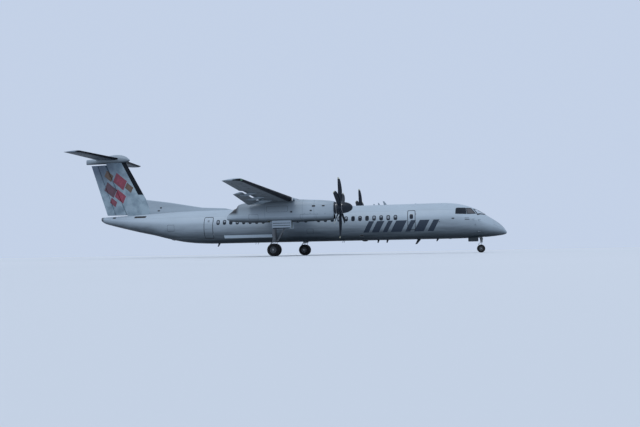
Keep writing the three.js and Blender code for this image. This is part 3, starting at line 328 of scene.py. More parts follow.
def wing_finish(name, color):
    """Grey wing skin with seams across the span and a shaded underside."""
    made = Finish(name, color, 0.55, specular=0.15)
    blotches = made.noise(1.2, 4.0)
    made.stain(blotches, 0.35, 0.75, 0.35, shade(color, 0.82))
    made.stain(made.noise(4.0, 5.0, (1, 0.14, 1)), 0.5, 0.85, 0.4, shade(color, 0.6))
    ribs = made.lines(1, WING_SEAMS, 0.01)
    made.tint(SEAM_DARK, ribs, 0.5)
    made.tint(shade(color, 0.2), made.facing_down(0.1, -0.65), 0.92)
    made.vary_roughness(blotches, 0.5, 0.62)
    made.bump(made.math("SUBTRACT", made.product(made.noise(3.0, 1.0), 0.5), ribs), 0.003, 0.35)
    return made


WING = wing_finish("wing_paint", (0.305, 0.37, 0.425))
# The tailplane's paint: a darker copy of the wing's grey, a painted shade.
SHADED_TAILPLANE = wing_finish("tailplane_shaded_paint", (0.2, 0.25, 0.31))
BOOT = plain_finish("deicer_boot", (0.005, 0.008, 0.013), 0.6, variation=0.2, scale=3.0, specular=0.1)
# Near-black: real seals and joints, and also the painted shade in the rims' holes and in the gaps across the
# main gear doors.
SEAL_AND_SHADE = plain_finish("dark_seal_and_shade", (0.02, 0.025, 0.032), 0.7, specular=0.2)
GLASS = glass_finish("dark_glass", (0.006, 0.01, 0.016))
HAZY_GLASS = glass_finish("hazy_glass", (0.075, 0.075, 0.08))
# The windscreen's glass is a pale blue-grey, a painted reflection of the sky.
WINDSCREEN_REFLECTION = glass_finish("windscreen_reflection_glass", (0.34, 0.4, 0.46))
PANE = glass_finish("cabin_glass", (0.012, 0.018, 0.026))
BLIND = plain_finish("window_blind", (0.19, 0.225, 0.265), 0.6, variation=0.1)
FRAME_METAL = plain_finish("window_frame", (0.17, 0.205, 0.245), 0.5, variation=0.1)
BARE_METAL = plain_finish("bare_metal", (0.55, 0.56, 0.57), 0.3, 0.9, variation=0.15)
# The gear's dark grey is darkened further, a painted shade for gear standing under the aircraft.
ENAMEL = plain_finish("gear_enamel", (0.13, 0.145, 0.16), 0.5, variation=0.3, scale=9.0)
ALLOY = plain_finish("wheel_alloy", (0.09, 0.1, 0.11), 0.5, 0.3, variation=0.3, scale=14.0)
CHROME = plain_finish("chromed_rod", (0.75, 0.77, 0.79), 0.1, 1.0, variation=0.05)
HOSE = plain_finish("black_hose", (0.025, 0.025, 0.027), 0.6)
BLADE = plain_finish("blade_paint", (0.014, 0.02, 0.03), 0.45, variation=0.25, scale=4.0, specular=0.2)
TIP = plain_finish("blade_tip_paint", (0.5, 0.5, 0.38), 0.5, variation=0.1)
HOT = plain_finish("exhaust_steel", (0.14, 0.12, 0.1), 0.5, 0.8, variation=0.4, scale=8.0)
# Near-black: real soot in the exhausts and the tail outlet, dark joints round the nacelles' hatches, and
# painted shade in the engine bores, the intakes and the vents.
SOOT_AND_SHADE = plain_finish("soot_and_shade_lining", (0.02, 0.02, 0.02), 0.9)
BAY = plain_finish("bay_primer", (0.3, 0.33, 0.26), 0.6, variation=0.35, scale=5.0)
CABIN = plain_finish("cabin_lining", (0.5, 0.48, 0.43), 0.6, variation=0.1)
TREAD = plain_finish("step_tread", (0.05, 0.05, 0.055), 0.8, bump=0.001)
RED_LENS = lens_finish("red_lens", (0.3, 0.015, 0.015), 0.02)
GREEN_LENS = lens_finish("green_lens", (0.012, 0.13, 0.05), 0.02)
CLEAR_LENS = lens_finish("clear_lens", (0.6, 0.63, 0.65), 0.05)
TYRE = tyre_finish()

# Mesh tools


def round_ring(centre, side, up, radius, sides):
    return [centre + (side * math.cos(a) + up * math.sin(a)) * radius for a in around(sides)]


def skin_faces(rows, sides, closed=False):
    """Faces between rows of as many points each. A closed skin joins its last row to its first."""
    pairs = [(r, (r + 1) % rows) for r in range(rows if closed else rows - 1)]
    steps = [(i, (i + 1) % sides) for i in range(sides)]
    return [[r * sides + i, r * sides + j, q * sides + j, q * sides + i] for r, q in pairs for i, j in steps]


class Shape:
    """Collects the points and faces of one piece, with a finish number for each face."""

    def __init__(self):
        self.points = []
        self.faces = []
        self.finishes = []

    def add(self, points, faces, finish=0):
        """The finish is one number, or a list with a number for each face."""
        start = len(self.points)
        self.points += [Vector(p) for p in points]
        self.faces += [[start + i for i in face] for face in faces]
        self.finishes += finish if isinstance(finish, list) else [finish] * len(faces)
        return self

    def loft(self, rings, finish=0, first=None, last=None):
        """Skins rings that have as many points each. An end is flat, or runs to a tip point.
        The finish may be a function of the ring's and the side's number."""
        sides = len(rings[0])
        points = [p for ring in rings for p in ring]
        faces = skin_faces(len(rings), sides)
        pick = finish if callable(finish) else lambda ring, side: finish
        marks = [pick(r, i) for r in range(len(rings) - 1) for i in range(sides)]
        for tip, ring in ((first, 0), (last, len(rings) - 1)):
            loop = [ring * sides + i for i in range(sides)]
            nearest = min(ring, len(rings) - 2)
            if tip is None:
                faces.append(loop)
                marks.append(pick(nearest, 0))
            else:
                points.append(tip)
                faces += [[a, b, len(points) - 1] for a, b in zip(loop, loop[1:] + loop[:1])]
                marks += [pick(nearest, i) for i in range(sides)]
        return self.add(points, faces, marks)

    def box(self, low, high, finish=0):
        """A box between two opposite corners."""
        corners = [(x, y, z) for x in (low[0], high[0]) for y in (low[1], high[1]) for z in (low[2], high[2])]
        faces = [[0, 1, 3, 2], [4, 6, 7, 5], [0, 4, 5, 1], [2, 3, 7, 6], [0, 2, 6, 4], [1, 5, 7, 3]]
        return self.add(corners, faces, finish)

    def turned(self, start, axis, profile, finish=0, sides=48):
        """Revolves (distance along the axis, radius) pairs. The profile starts and ends on the axis,
        or closes on itself."""
        start, axis = Vector(start), Vector(axis).normalized()
        side = axis.orthogonal().normalized()
        up = axis.cross(side)
        closed = profile[0][1] > 1e-6
        rows = profile if closed else profile[1:-1]
        rings = [round_ring(start + axis * along, side, up, radius, sides) for along, radius in rows]
        if closed:
            points = [p for ring in rings for p in ring]
            return self.add(points, skin_faces(len(rings), sides, True), finish)
        return self.loft(rings, finish, start + axis * profile[0][0], start + axis * profile[-1][0])

    def plug(self, start, axis, radius, length, finish=0, sides=48):
        """A plain cylinder."""
        return self.turned(start, axis, [(0, 0), (0, radius), (length, radius), (length, 0)], finish, sides)

    def tube(self, start, axis, bore, radius, length, ease, sides):
        """An open tube with eased outer edges. The ease is how far along the tube and how far inwards."""
        along, inwards = ease
        profile = [(0, bore), (0, radius - inwards), (along, radius)]
        profile += [(length - along, radius), (length, radius - inwards), (length, bore)]
        return self.turned(start, axis, profile, sides=sides)

    def rod(self, start, end, radius, finish=0, end_radius=None, sides=20):
        """A cylinder or cone with eased ends."""
        start, end = Vector(start), Vector(end)
        length = (end - start).length
        tip = radius if end_radius is None else end_radius
        ease = min(radius, tip) * 0.15
        profile = [(0, 0), (0, radius - ease), (ease, radius)]
        profile += [(length - ease, tip), (length, tip - ease), (length, 0)]
        return self.turned(start, end - start, profile, finish, sides)

    def cross_rod(self, at, half, radius, finish=0, sides=20):
        """A rod across the aircraft with its middle at a point."""
        return self.rod(at - PORT * half, at + PORT * half, radius, finish, sides=sides)

    def hose(self, points, radius, finish=0, sides=10, steps=8):
        """A round tube along a smooth curve through the points."""
        points = [Vector(p) for p in points]
        path = []
        for i in range(len(points) - 1):
            before, a, b = points[max(i - 1, 0)], points[i], points[i + 1]
            after = points[min(i + 2, len(points) - 1)]
            square, cube = 2 * before - 5 * a + 4 * b - after, 3 * a - before - 3 * b + after
            for t in (k / steps for k in range(steps)):
                path.append(0.5 * (2 * a + (b - before) * t + square * t**2 + cube * t**3))
        path.append(points[-1])
        rings = []
        side = (path[1] - path[0]).orthogonal().normalized()
        for i, at in enumerate(path):
            along = (path[min(i + 1, len(path) - 1)] - path[max(i - 1, 0)]).normalized()
            side = (side - along * side.dot(along)).normalized()
            rings.append(round_ring(at, side, along.cross(side), radius, sides))
        return self.loft(rings, finish)

    def ring_tube(self, points, radius, finish=0, sides=12):
        """A round tube along a closed path."""
        points = [Vector(p) for p in points]
        centre = sum(points, Vector()) / len(points)
        found = []
        for before, at, after in zip(points[-1:] + points[:-1], points, points[1:] + points[:1]):
            along = (after - before).normalized()
            out = at - centre
            out = (out - along * out.dot(along)).normalized()
            found += round_ring(at, out, along.cross(out), radius, sides)
        return self.add(found, skin_faces(len(points), sides, True), finish)


def mesh_object(name, shape, finishes):
    mesh = bpy.data.meshes.new(name)
    mesh.from_pydata([tuple(p) for p in shape.points], [], shape.faces)
    for made in finishes:
        mesh.materials.append(made.material)
    mesh.polygons.foreach_set("material_index", shape.finishes)
    outward = bmesh.new()
    outward.from_mesh(mesh)
    bmesh.ops.recalc_face_normals(outward, faces=outward.faces)
    outward.to_mesh(mesh)
    outward.free()
    made = bpy.data.objects.new(name, mesh)
    bpy.context.scene.collection.objects.link(made)
    return made


def bake_modifiers(obj):
    bpy.context.view_layer.update()
    graph = bpy.context.evaluated_depsgraph_get()
    mesh = bpy.data.meshes.new_from_object(obj.evaluated_get(graph))
    obj.modifiers.clear()
    obj.data = mesh


def cut_away(obj, shape, finish, operation="DIFFERENCE"):
    """Cuts a closed shape out of an object. The cut's walls take the finish."""
    tool = mesh_object(obj.name + "_tool", shape, [finish])
    knife = obj.modifiers.new("cut", "BOOLEAN")
    knife.operation = operation
    knife.object = tool
    knife.solver = "EXACT"
    knife.material_mode = "TRANSFER"
    bake_modifiers(obj)
    bpy.data.objects.remove(tool)


def piece(
    name, shape, finishes, node=None, body="airframe", degrees=32, cuts=(), bevel=None
):
    """Makes one piece of the model: its mesh, cuts, shading, body and the CAD node it stands for."""
    made = mesh_object(name, shape, finishes)
    for cut in cuts:
        cut_away(made, *cut)
    if bevel:
        rounding = made.modifiers.new("bevel", "BEVEL")
        rounding.width = bevel
        rounding.segments = 2
        rounding.angle_limit = math.radians(40)
        bake_modifiers(made)
    made.data.polygons.foreach_set("use_smooth", [True] * len(made.data.polygons))
    made.data.set_sharp_from_angle(angle=math.radians(degrees))
    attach(made, body)
    if node:
        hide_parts(node)


def smooth_rows(rows):
    """A smooth curve through a table's rows, with slopes that never overshoot between two rows."""

    def rise(i, column):
        return (rows[i + 1][column] - rows[i][column]) / (rows[i + 1][0] - rows[i][0])

    def slope(i, column):
        if i in (0, len(rows) - 1):
            return rise(min(i, len(rows) - 2), column)
        before, after = rise(i - 1, column), rise(i, column)
        return 0.0 if before * after <= 0 else 2 * before * after / (before + after)

    def value(at):
        i = 0
        while i < len(rows) - 2 and at > rows[i + 1][0]:
            i += 1
        span = rows[i + 1][0] - rows[i][0]
        t = clamp((at - rows[i][0]) / span)
        late = 3 * t**2 - 2 * t**3
        found = []
        for column in range(1, len(rows[i])):
            leave, arrive = slope(i, column) * span, slope(i + 1, column) * span
            bend = (t**3 - 2 * t**2 + t) * leave + (t**3 - t**2) * arrive
            found.append(mix(rows[i][column], rows[i + 1][column], late) + bend)
        return found

    return value


# Fuselage: station, bottom, top, half width
FUSELAGE_ROWS = [
    (0.04, 1.29, 1.5, 0.105),
    (0.2, 1.232, 1.735, 0.275),
    (0.5, 1.18, 2.04, 0.465),
    (0.95, 1.13, 2.365, 0.69),
    (1.45, 1.09, 2.69, 0.89),
    (2.05, 1.06, 3.07, 1.065),
    (2.75, 1.032, 3.35, 1.2),
    (3.5, 1.022, 3.53, 1.29),
    (4.3, 1.02, 3.592, 1.335),
    (5.0, 1.02, 3.6, 1.345),
    (21.6, 1.02, 3.6, 1.345),
    (23.0, 1.065, 3.598, 1.33),
    (24.15, 1.18, 3.58, 1.28),
    (25.5, 1.45, 3.54, 1.17),
    (26.75, 1.76, 3.48, 1.02),
    (28.0, 2.02, 3.43, 0.85),
    (29.2, 2.3, 3.38, 0.65),
    (30.4, 2.6, 3.335, 0.43),
    (31.1, 2.8, 3.31, 0.27),
    (31.4, 2.98, 3.295, 0.15),
]
FIRST_ROW = FUSELAGE_ROWS[0][0]
# A rounded body's form: how high its widest line lies, then the powers of its lower and upper curves
WIDEST, LOWER_POWER = 0.479, 2.2
HULL_FORM = (WIDEST, LOWER_POWER, 2.0)
HULL_HALF_WIDTH = max(row[3] for row in FUSELAGE_ROWS)
# How many points a ring of the fuselage has, and a ring of a nacelle or the saddle
HULL_SIDES, BODY_SIDES = 128, 80
fuselage_at = smooth_rows(FUSELAGE_ROWS)


def drawn_in(section, height, share):
    """A section drawn in towards a height, as at a body's rounded end."""
    bottom, top, half = section
    return mix(height, bottom, share), mix(height, top, share), half * share


def fuselage_section(station):
    """Bottom, top and half width, rounded off to a point ahead of the table's first row."""
    section = fuselage_at(max(station, FIRST_ROW))
    if station < FIRST_ROW:
        middle = (section[0] + section[1]) / 2
        section = drawn_in(section, middle, math.sqrt(max(station, 0) / FIRST_ROW))
    return section


def round_point(bottom, top, half, angle, widest=0.5, lower=2.0, upper=2.0):
    middle = mix(bottom, top, widest)
    c, s = math.cos(angle), math.sin(angle)
    power = 2 / (upper if s >= 0 else lower)
    reach = top - middle if s >= 0 else middle - bottom
    return math.copysign(abs(c) ** power * half, c), middle + math.copysign(abs(s) ** power * reach, s)


def body_ring(station, section, form, sides, centre=0.0):
    """Points round a rounded body, from its bottom, top and half width at a station."""
    ring = [round_point(*section, a, *form) for a in around(sides)]
    return [Vector((x_at(station), centre + y, z)) for y, z in ring]


def fuselage_ring(station, grow=0.0):
    bottom, top, half = fuselage_section(station)
    return body_ring(station, (bottom - grow, top + grow, half + grow), HULL_FORM, HULL_SIDES)


def half_width(section, form, station, height):
    """Half width of a rounded body at a station and height."""
    bottom, top, half = section(station)
    widest, lower, upper = form
    middle = mix(bottom, top, widest)
    reach, power = (top - middle, upper) if height >= middle else (middle - bottom, lower)
    share = clamp(abs(height - middle) / reach)
    return half * (1 - share**power) ** (1 / power)


def side_points(section, form, centre=0.0):
    """A function that gives points of a rounded body's side, lifted off the skin along its normal."""
    step = 0.004

    def on_skin(station, height):
        return Vector((x_at(station), half_width(section, form, station, height), height))

    def point(station, height, side, lift=0.0):
        rising = on_skin(station, height + step) - on_skin(station, height - step)
        running = on_skin(station + step, height) - on_skin(station - step, height)
        normal = rising.cross(running).normalized()
        if normal.y < 0:
            normal.negate()
        at = on_skin(station, height) + normal * lift
        return Vector((at.x, centre + at.y * side, at.z))

    return point


side_point = side_points(fuselage_section, HULL_FORM)


def crown_point(station, across, side, lift=0.0):
    """A point of the fuselage's upper skin at a station and a distance from the centre plane."""
    bottom, top, half = fuselage_section(station)
    middle = mix(bottom, top, WIDEST)
    left = math.sqrt(max(0.0, 1 - (across / half) ** 2))
    step = 0.01
    fall = (fuselage_section(station + step)[1] - fuselage_section(station - step)[1]) / (2 * step)
    normal = Vector((fall, across / half**2 * (top - middle), left)).normalized()
    at = Vector((x_at(station), across, middle + (top - middle) * left)) + normal * lift
    return Vector((at.x, at.y * side, at.z))


def belly_point(station, across, side, lift=0.0):
    """A point of the fuselage's lower skin, lifted straight down off it."""
    bottom, top, half = fuselage_section(station)
    middle = mix(bottom, top, WIDEST)
    share = clamp(abs(across) / half)
    height = middle - (middle - bottom) * (1 - share**LOWER_POWER) ** (1 / LOWER_POWER)
    return Vector((x_at(station), across * side, height - lift))


def add_patch(shape, outline, side, lift, depth, finish=0, rings=4, point=side_point):
    """A thin slab that follows the skin inside an outline of (station, height) pairs."""
    centre = [sum(p[k] for p in outline) / len(outline) for k in (0, 1)]
    points = [point(*p, side, -depth) for p in outline]
    for ring in range(rings):
        share = 1 - ring / rings
        loop = [[mix(c, at, share) for c, at in zip(centre, p)] for p in outline]
        points += [point(*p, side, lift) for p in loop]
    points.append(point(*centre, side, lift))
    last, sides = rings * len(outline), len(outline)
    faces = skin_faces(rings + 1, sides)
    faces += [[last + i, last + (i + 1) % sides, last + sides] for i in range(sides)]
    shape.add(points, faces, finish)


def add_band(shape, outline, side, width, lift, depth=0.004, finish=0, point=side_point):
    """A thin strip that runs round inside an outline on the skin."""
    inner = inset(outline, width)
    levels = [(outline, -depth), (outline, lift), (inner, lift), (inner, -depth)]
    points = [point(*p, side, height) for loop, height in levels for p in loop]
    shape.add(points, skin_faces(4, len(outline)), finish)


def inset(outline, width):
    """The outline moved inwards by a width."""
    following = outline[1:] + outline[:1]
    area = sum(a[0] * b[1] - b[0] * a[1] for a, b in zip(outline, following))
    turn = 1 if area > 0 else -1
    moved = []
    for before, here, after in zip(outline[-1:] + outline[:-1], outline, following):
        a = Vector((here[0] - before[0], here[1] - before[1])).normalized()
        b = Vector((after[0] - here[0], after[1] - here[1])).normalized()
        normal = Vector((-(a + b).y, (a + b).x)).normalized() * turn
        reach = width / max(0.5, math.sqrt(max(0.0, (1 + a.dot(b)) / 2)))
        moved.append((here[0] + normal.x * reach, here[1] + normal.y * reach))
    return moved


def divided(corners, parts):
    """An outline with each straight stretch cut into as many parts as a function of its length says."""
    outline = []
    for here, after in zip(corners, corners[1:] + corners[:1]):
        count = parts(math.dist(here, after))
        for t in (k / count for k in range(count)):
            outline.append((mix(here[0], after[0], t), mix(here[1], after[1], t)))
    return outline


def rounded_box(station, height, width, tall, radius, steps=5, along=8):
    """Outline of a rectangle with round corners, about a middle point."""
    corners = []
    for turn, (sx, sz) in enumerate([(1, 1), (-1, 1), (-1, -1), (1, -1)]):
        centre = (station + sx * (width / 2 - radius), height + sz * (tall / 2 - radius))
        for a in (math.pi / 2 * (turn + k / steps) for k in range(steps + 1)):
            corners.append((centre[0] + radius * math.cos(a), centre[1] + radius * math.sin(a)))
    return divided(corners, lambda gap: along if gap > radius else 1)


def round_corners(corners, radius, steps=4):
    """Swaps each corner of an outline for a short curve."""
    outline = []
    for before, here, after in zip(corners[-1:] + corners[:-1], corners, corners[1:] + corners[:1]):
        corner = Vector(here)
        start = corner.lerp(Vector(before), min(0.45, radius / math.dist(here, before)))
        end = corner.lerp(Vector(after), min(0.45, radius / math.dist(here, after)))
        for t in (k / steps for k in range(steps + 1)):
            outline.append(tuple(start.lerp(corner, t).lerp(corner.lerp(end, t), t)))
    return outline


NOSE_BAY = {"front": 1.5, "rear": 2.72, "half": 0.235, "roof": 1.64}
DOOR = {"front": 5.02, "rear": 5.79, "sill": 1.48, "head": 3.08, "thickness": 0.09}
DOOR_CLEARANCE, HEAD_CLEARANCE = 0.008, 0.016
VESTIBULE_Y = 0.35
OUTLET = {"station": 31.44, "height": 3.1375, "radius": 0.12, "depth": 0.4}
NOSE_TIP_HEIGHT = 1.395
# The CAD nodes of the fuselage, with where each one starts and ends and how many rings it takes
FUSELAGE_LENGTHS = [
    ("radome", 0.0, 0.95, 30),
    ("nose_section", 0.95, 4.3, 44),
    ("forward_fuselage", 4.3, 7.4, 20),
    ("centre_fuselage", 7.4, 20.2, 60),
    ("aft_fuselage", 20.2, 26.1, 40),
    ("tail_cone", 26.1, 31.4, 44),
]


def bay_box(bay, y, low):
    """A box that cuts a wheel bay, upwards from a height below the skin."""
    half = bay["half"]
    return Shape().box((x_at(bay["rear"]), y - half, low), (x_at(bay["front"]), y + half, bay["roof"]))


def build_fuselage():
    doorway = Shape().box(
        (x_at(DOOR["rear"]), VESTIBULE_Y, DOOR["sill"]),
        (x_at(DOOR["front"]), 1.6, DOOR["head"]),
    )
    outlet_start = (x_at(OUTLET["station"]), 0, OUTLET["height"])
    outlet = Shape().plug(outlet_start, FORE, OUTLET["radius"], OUTLET["depth"])
    cuts = {
        "nose_section": [(bay_box(NOSE_BAY, 0, 0.7), BAY)],
        "forward_fuselage": [(doorway, CABIN)],
        "tail_cone": [(outlet, SOOT_AND_SHADE)],
    }
    for node, start, end, count in FUSELAGE_LENGTHS:
        tip, paint, stations = None, HULL, spread(start, end, count)
        if node == "radome":
            tip, paint = Vector((x_at(0), 0, NOSE_TIP_HEIGHT)), RADOME
            stations = [end * share**2 for share in spread(0, 1, count)[1:]]
        shape = Shape().loft([fuselage_ring(s) for s in stations], first=tip)
        piece(node + "_skin", shape, [paint], node, cuts=cuts.get(node, ()))


# Cockpit windows of one side: finish number, points of the skin, width of the seal, outline.
# The windscreen is an outline of (station, distance from the centre plane), the others of (station, height).
WINDSCREEN_CORNERS = [(1.36, 0.03), (1.55, 0.45), (1.99, 0.86), (2.28, 0.47), (2.12, 0.25), (1.97, 0.03)]
COCKPIT_PANES = [
    (3, crown_point, 0.07, WINDSCREEN_CORNERS),
    (2, side_point, 0.045, [(2.07, 2.715), (2.7, 2.7), (2.75, 3.16), (2.4, 3.14)]),
    (0, side_point, 0.045, [(2.715, 2.7), (3.5, 2.73), (3.46, 3.13), (3.38, 3.175), (2.765, 3.165)]),
]
# The wiper's arm and pivot, by station and distance from the centre plane
WIPER = [(1.5, 0.2), (1.62, 0.24), (1.8, 0.3), (1.95, 0.36)]
WIPER_PIVOT = (1.47, 0.19)


def build_cockpit_windows():
    glass = Shape()
    for side in SIDES.values():
        for tone, point, width, corners in COCKPIT_PANES:
            outline = divided(round_corners(corners, 0.05), lambda gap: max(1, math.ceil(gap / 0.05)))
            add_band(glass, outline, side, width, 0.006, finish=1, point=point)
            pane = inset(outline, width - 0.007)
            add_patch(glass, pane, side, 0.002, 0.006, finish=tone, rings=10, point=point)
        glass.hose([crown_point(*spot, side, 0.02) for spot in WIPER], 0.008, 1, sides=8)
        foot, head = [crown_point(*WIPER_PIVOT, side, lift) for lift in (-0.01, 0.035)]
        glass.rod(foot, head, 0.02, 1, sides=14)
    finishes = [GLASS, SEAL_AND_SHADE, HAZY_GLASS, WINDSCREEN_REFLECTION]
    piece("cockpit_windows", glass, finishes, "cockpit_glazing", degrees=50)


WINDOW = {"width": 0.265, "height": 0.375, "middle": 2.585, "radius": 0.11}
WINDOW_PITCH = 0.508
CABIN_WINDOWS = [7.66 + WINDOW_PITCH * i for i in range(12)] + [14.2, 14.8]
CABIN_WINDOWS += [17.45 + WINDOW_PITCH * i for i in range(8)]
# How far down each blind is drawn, window by window from the front and then over again
BLINDS = (0.5, 0.75, 0.35, 0.6, 0, 0.25, 0, 0.55, 0.8, 0)
BLIND_MARGIN = 0.06


def build_cabin_windows():
    panes = Shape()
    width, height = WINDOW["width"], WINDOW["height"]
    top = WINDOW["middle"] + height / 2 - BLIND_MARGIN
    for side in SIDES.values():
        for i, station in enumerate(CABIN_WINDOWS):
            outline = rounded_box(station, WINDOW["middle"], width, height, WINDOW["radius"], along=3)
            add_band(panes, outline, side, 0.024, 0.0035, finish=1)
            add_patch(panes, inset(outline, 0.02), side, 0.0015, 0.004, rings=3)
            tall = BLINDS[i % len(BLINDS)] * (height - 2 * BLIND_MARGIN)
            if tall:
                wide = width - 2 * BLIND_MARGIN
                blind = rounded_box(station, top - tall / 2, wide, tall, 0.03, steps=3, along=3)
                add_patch(panes, blind, side, 0.0025, 0.001, finish=2, rings=2)
    piece("cabin_windows", panes, [PANE, SEAL_AND_SHADE, BLIND], degrees=50)


# Wing planform
WING_PLAN = {"front": 14.1, "height": 3.8, "chord": 2.75, "thickness": 0.17, "break": 4.4}
WING_TIP = {"y": 14.0, "cap": 0.21, "front": 14.57, "chord": 1.26, "thickness": 0.14}
CAMBER = 0.025
DIHEDRAL = math.tan(math.radians(2.5))
FLAP = {"chord": 0.34, "front": 0.88, "drop": 0.062, "angle": math.radians(8), "lip": 0.72, "shroud": 0.925}
FLAP_SPANS = {"inboard": (1.44, 3.7), "outboard": (5.11, 9.96)}
AILERON = {"from": 10.01, "to": 13.85, "hinge": 0.76, "gap": 0.014}
# The slit at each end of a flap or aileron
SLIT = 0.01
BOOT_SHARE = 0.12
AEROFOIL_STEPS = 34


def wing_at(y):
    out = max(0.0, (y - WING_PLAN["break"]) / (WING_TIP["y"] - WING_PLAN["break"]))
    chord = mix(WING_PLAN["chord"], WING_TIP["chord"], out)
    thick = [plan["thickness"] * plan["chord"] for plan in (WING_PLAN, WING_TIP)]
    return {
        "front": x_at(mix(WING_PLAN["front"], WING_TIP["front"], out)),
        "height": WING_PLAN["height"] + max(0.0, y - WING_PLAN["break"]) * DIHEDRAL,
        "chord": chord,
        "thickness": mix(*thick, out) / chord,
    }


def half_thickness(u, thickness):
    u = max(u, 0.0)
    return 5 * thickness * (0.2969 * math.sqrt(u) - 0.126 * u - 0.3516 * u**2 + 0.2843 * u**3 - 0.1015 * u**4)


def camber_line(u, camber, peak=0.4):
    if u < peak:
        return camber / peak**2 * (2 * peak * u - u * u)
    return camber / (1 - peak) ** 2 * (1 - 2 * peak + 2 * peak * u - u * u)


def upper_skin(u, thickness, camber=CAMBER):
    return camber_line(u, camber) + half_thickness(u, thickness)


def lower_skin(u, thickness, camber=CAMBER):
    return camber_line(u, camber) - half_thickness(u, thickness)


def aerofoil(thickness, camber=CAMBER, steps=AEROFOIL_STEPS):
    """Outline from the rear edge over the top to the nose and back below, as shares of the chord."""
    shares = [(1 - math.cos(math.pi * i / steps)) / 2 for i in range(steps + 1)]
    upper = [(u, upper_skin(u, thickness, camber)) for u in reversed(shares[1:])]
    return upper + [(0.0, 0.0)] + [(u, lower_skin(u, thickness, camber)) for u in shares[1:]]


def wing_ring(y, side, outline, at=None):
    at = at or wing_at(y)
    front, height, chord = at["front"], at["height"], at["chord"]
    return [Vector((front - u * chord, side * y, height + w * chord)) for u, w in outline]


def full_outline(at):
    return aerofoil(at["thickness"])


def flap_bay(at):
    """The wing where a flap tucks in under its upper skin."""
    thickness, lip, shroud = at["thickness"], FLAP["lip"], FLAP["shroud"]
    full = aerofoil(thickness)
    upper = [p for p in full[: AEROFOIL_STEPS + 1] if p[0] < shroud]
    lower = [p for p in full[AEROFOIL_STEPS + 1 :] if p[0] < lip]
    roof = [(lip, upper_skin(lip, thickness) - 0.045), (shroud, upper_skin(shroud, thickness) - 0.008)]
    outside = [(shroud, upper_skin(shroud, thickness))] + upper + lower + [(lip, lower_skin(lip, thickness))]
    return outside + roof


def aileron_bay(at):
    """The wing cut off ahead of the aileron."""
    thickness, hinge = at["thickness"], AILERON["hinge"]
    edge = hinge - half_thickness(hinge, thickness) - AILERON["gap"] / at["chord"]
    ahead = [p for p in aerofoil(thickness) if p[0] < edge]
    return [(edge, upper_skin(edge, thickness))] + ahead + [(edge, lower_skin(edge, thickness))]


def boot_finish(outline, share=BOOT_SHARE):
    """Finish 1, the black rubber boot, on the faces near the front edge, and 0 elsewhere."""

    def pick(ring, side):
        u = (outline[side][0] + outline[(side + 1) % len(outline)][0]) / 2
        return 1 if u < share else 0

    return pick


def add_wing_lengths(shape, side, start, lengths):
    """Adds lengths of wing, each with its outer end, section, whether it has a boot, and rings."""
    for end, outline_at, booted, count in lengths:
        rings = [wing_ring(y, side, outline_at(wing_at(y))) for y in spread(start, end, count)]
        shape.loft(rings, boot_finish(outline_at(wing_at(start))) if booted else 0)
        start = end


def wing_tip_rings(side, start):
    tip = wing_at(WING_TIP["y"])
    full, chord = full_outline(tip), tip["chord"]
    rings = [wing_ring(start, side, full_outline(wing_at(AILERON["to"])))]
    rings.append(wing_ring(WING_TIP["y"], side, full))
    for a in quarter(8):
        left = 0.4 + 0.6 * math.cos(a)
        at = dict(tip, chord=chord * left, front=tip["front"] - chord * (1 - left) * 0.75)
        outline = aerofoil(tip["thickness"] * (0.3 + 0.7 * left))
        rings.append(wing_ring(WING_TIP["y"] + WING_TIP["cap"] * math.sin(a), side, outline, at))
    return rings


def build_wing():
    inboard, outboard = [(start - SLIT, end + SLIT) for start, end in FLAP_SPANS.values()]
    inner_lengths = [
        (inboard[0], full_outline, False, 3),
        (inboard[1], flap_bay, True, 6),
        (WING_PLAN["break"], full_outline, False, 3),
    ]
    outer_lengths = [
        (outboard[0], full_outline, False, 3),
        (outboard[1], flap_bay, True, 10),
        (AILERON["from"] - SLIT, full_outline, True, 2),
        (AILERON["to"] + SLIT, aileron_bay, True, 10),
    ]
    centre = Shape()
    for side in SIDES.values():
        add_wing_lengths(centre, side, 0.0, inner_lengths)
    piece("wing_centre_skin", centre, [WING, BOOT], "wing_centre")
    for name, side in SIDES.items():
        outer = Shape()
        add_wing_lengths(outer, side, WING_PLAN["break"], outer_lengths)
        tip_boot = boot_finish(full_outline(wing_at(WING_TIP["y"])))
        outer.loft(wing_tip_rings(side, AILERON["to"] + SLIT), tip_boot)
        piece(f"wing_{name}_skin", outer, [WING, BOOT], f"wing_{name}")


def control_outline(hinge, rear, thickness, camber=0.0, arc=16):
    """A control surface: a round nose about its hinge, then flat sides to its rear edge."""
    nose, middle = half_thickness(hinge, thickness), camber_line(hinge, camber)
    angles = [-math.pi / 2 - math.pi * k / arc for k in range(arc + 1)]
    outline = [(hinge + nose * math.cos(a), middle + nose * math.sin(a)) for a in angles]
    stops = spread(hinge, rear, 8)[1:]
    outline += [(u, upper_skin(u, thickness, camber)) for u in stops]
    return outline + [(u, lower_skin(u, thickness, camber)) for u in reversed(stops)]


def aileron_outline(at):
    return control_outline(AILERON["hinge"], 1.0, at["thickness"], CAMBER)


def flap_outline(at):
    """A flap's section, the same all along the wing as a share of its chord."""
    c, s = math.cos(FLAP["angle"]), math.sin(FLAP["angle"])
    section = [(u * FLAP["chord"], w * FLAP["chord"]) for u, w in aerofoil(0.15, 0.02, 24)]
    return [(FLAP["front"] + u * c + w * s, -FLAP["drop"] - u * s + w * c) for u, w in section]


FLAP_ARMS = {"inboard": (1.9, 3.25), "outboard": (5.7, 7.5, 9.35)}
ARM = {"half": 0.045, "front": 0.5, "rear": 1.06, "depth": 0.075}
# Places across an arm's width, as shares of its half, and how much its outline is flattened there
ARM_SECTIONS = ((-1, 0.6), (-0.6, 0), (0.6, 0), (1, 0.6))


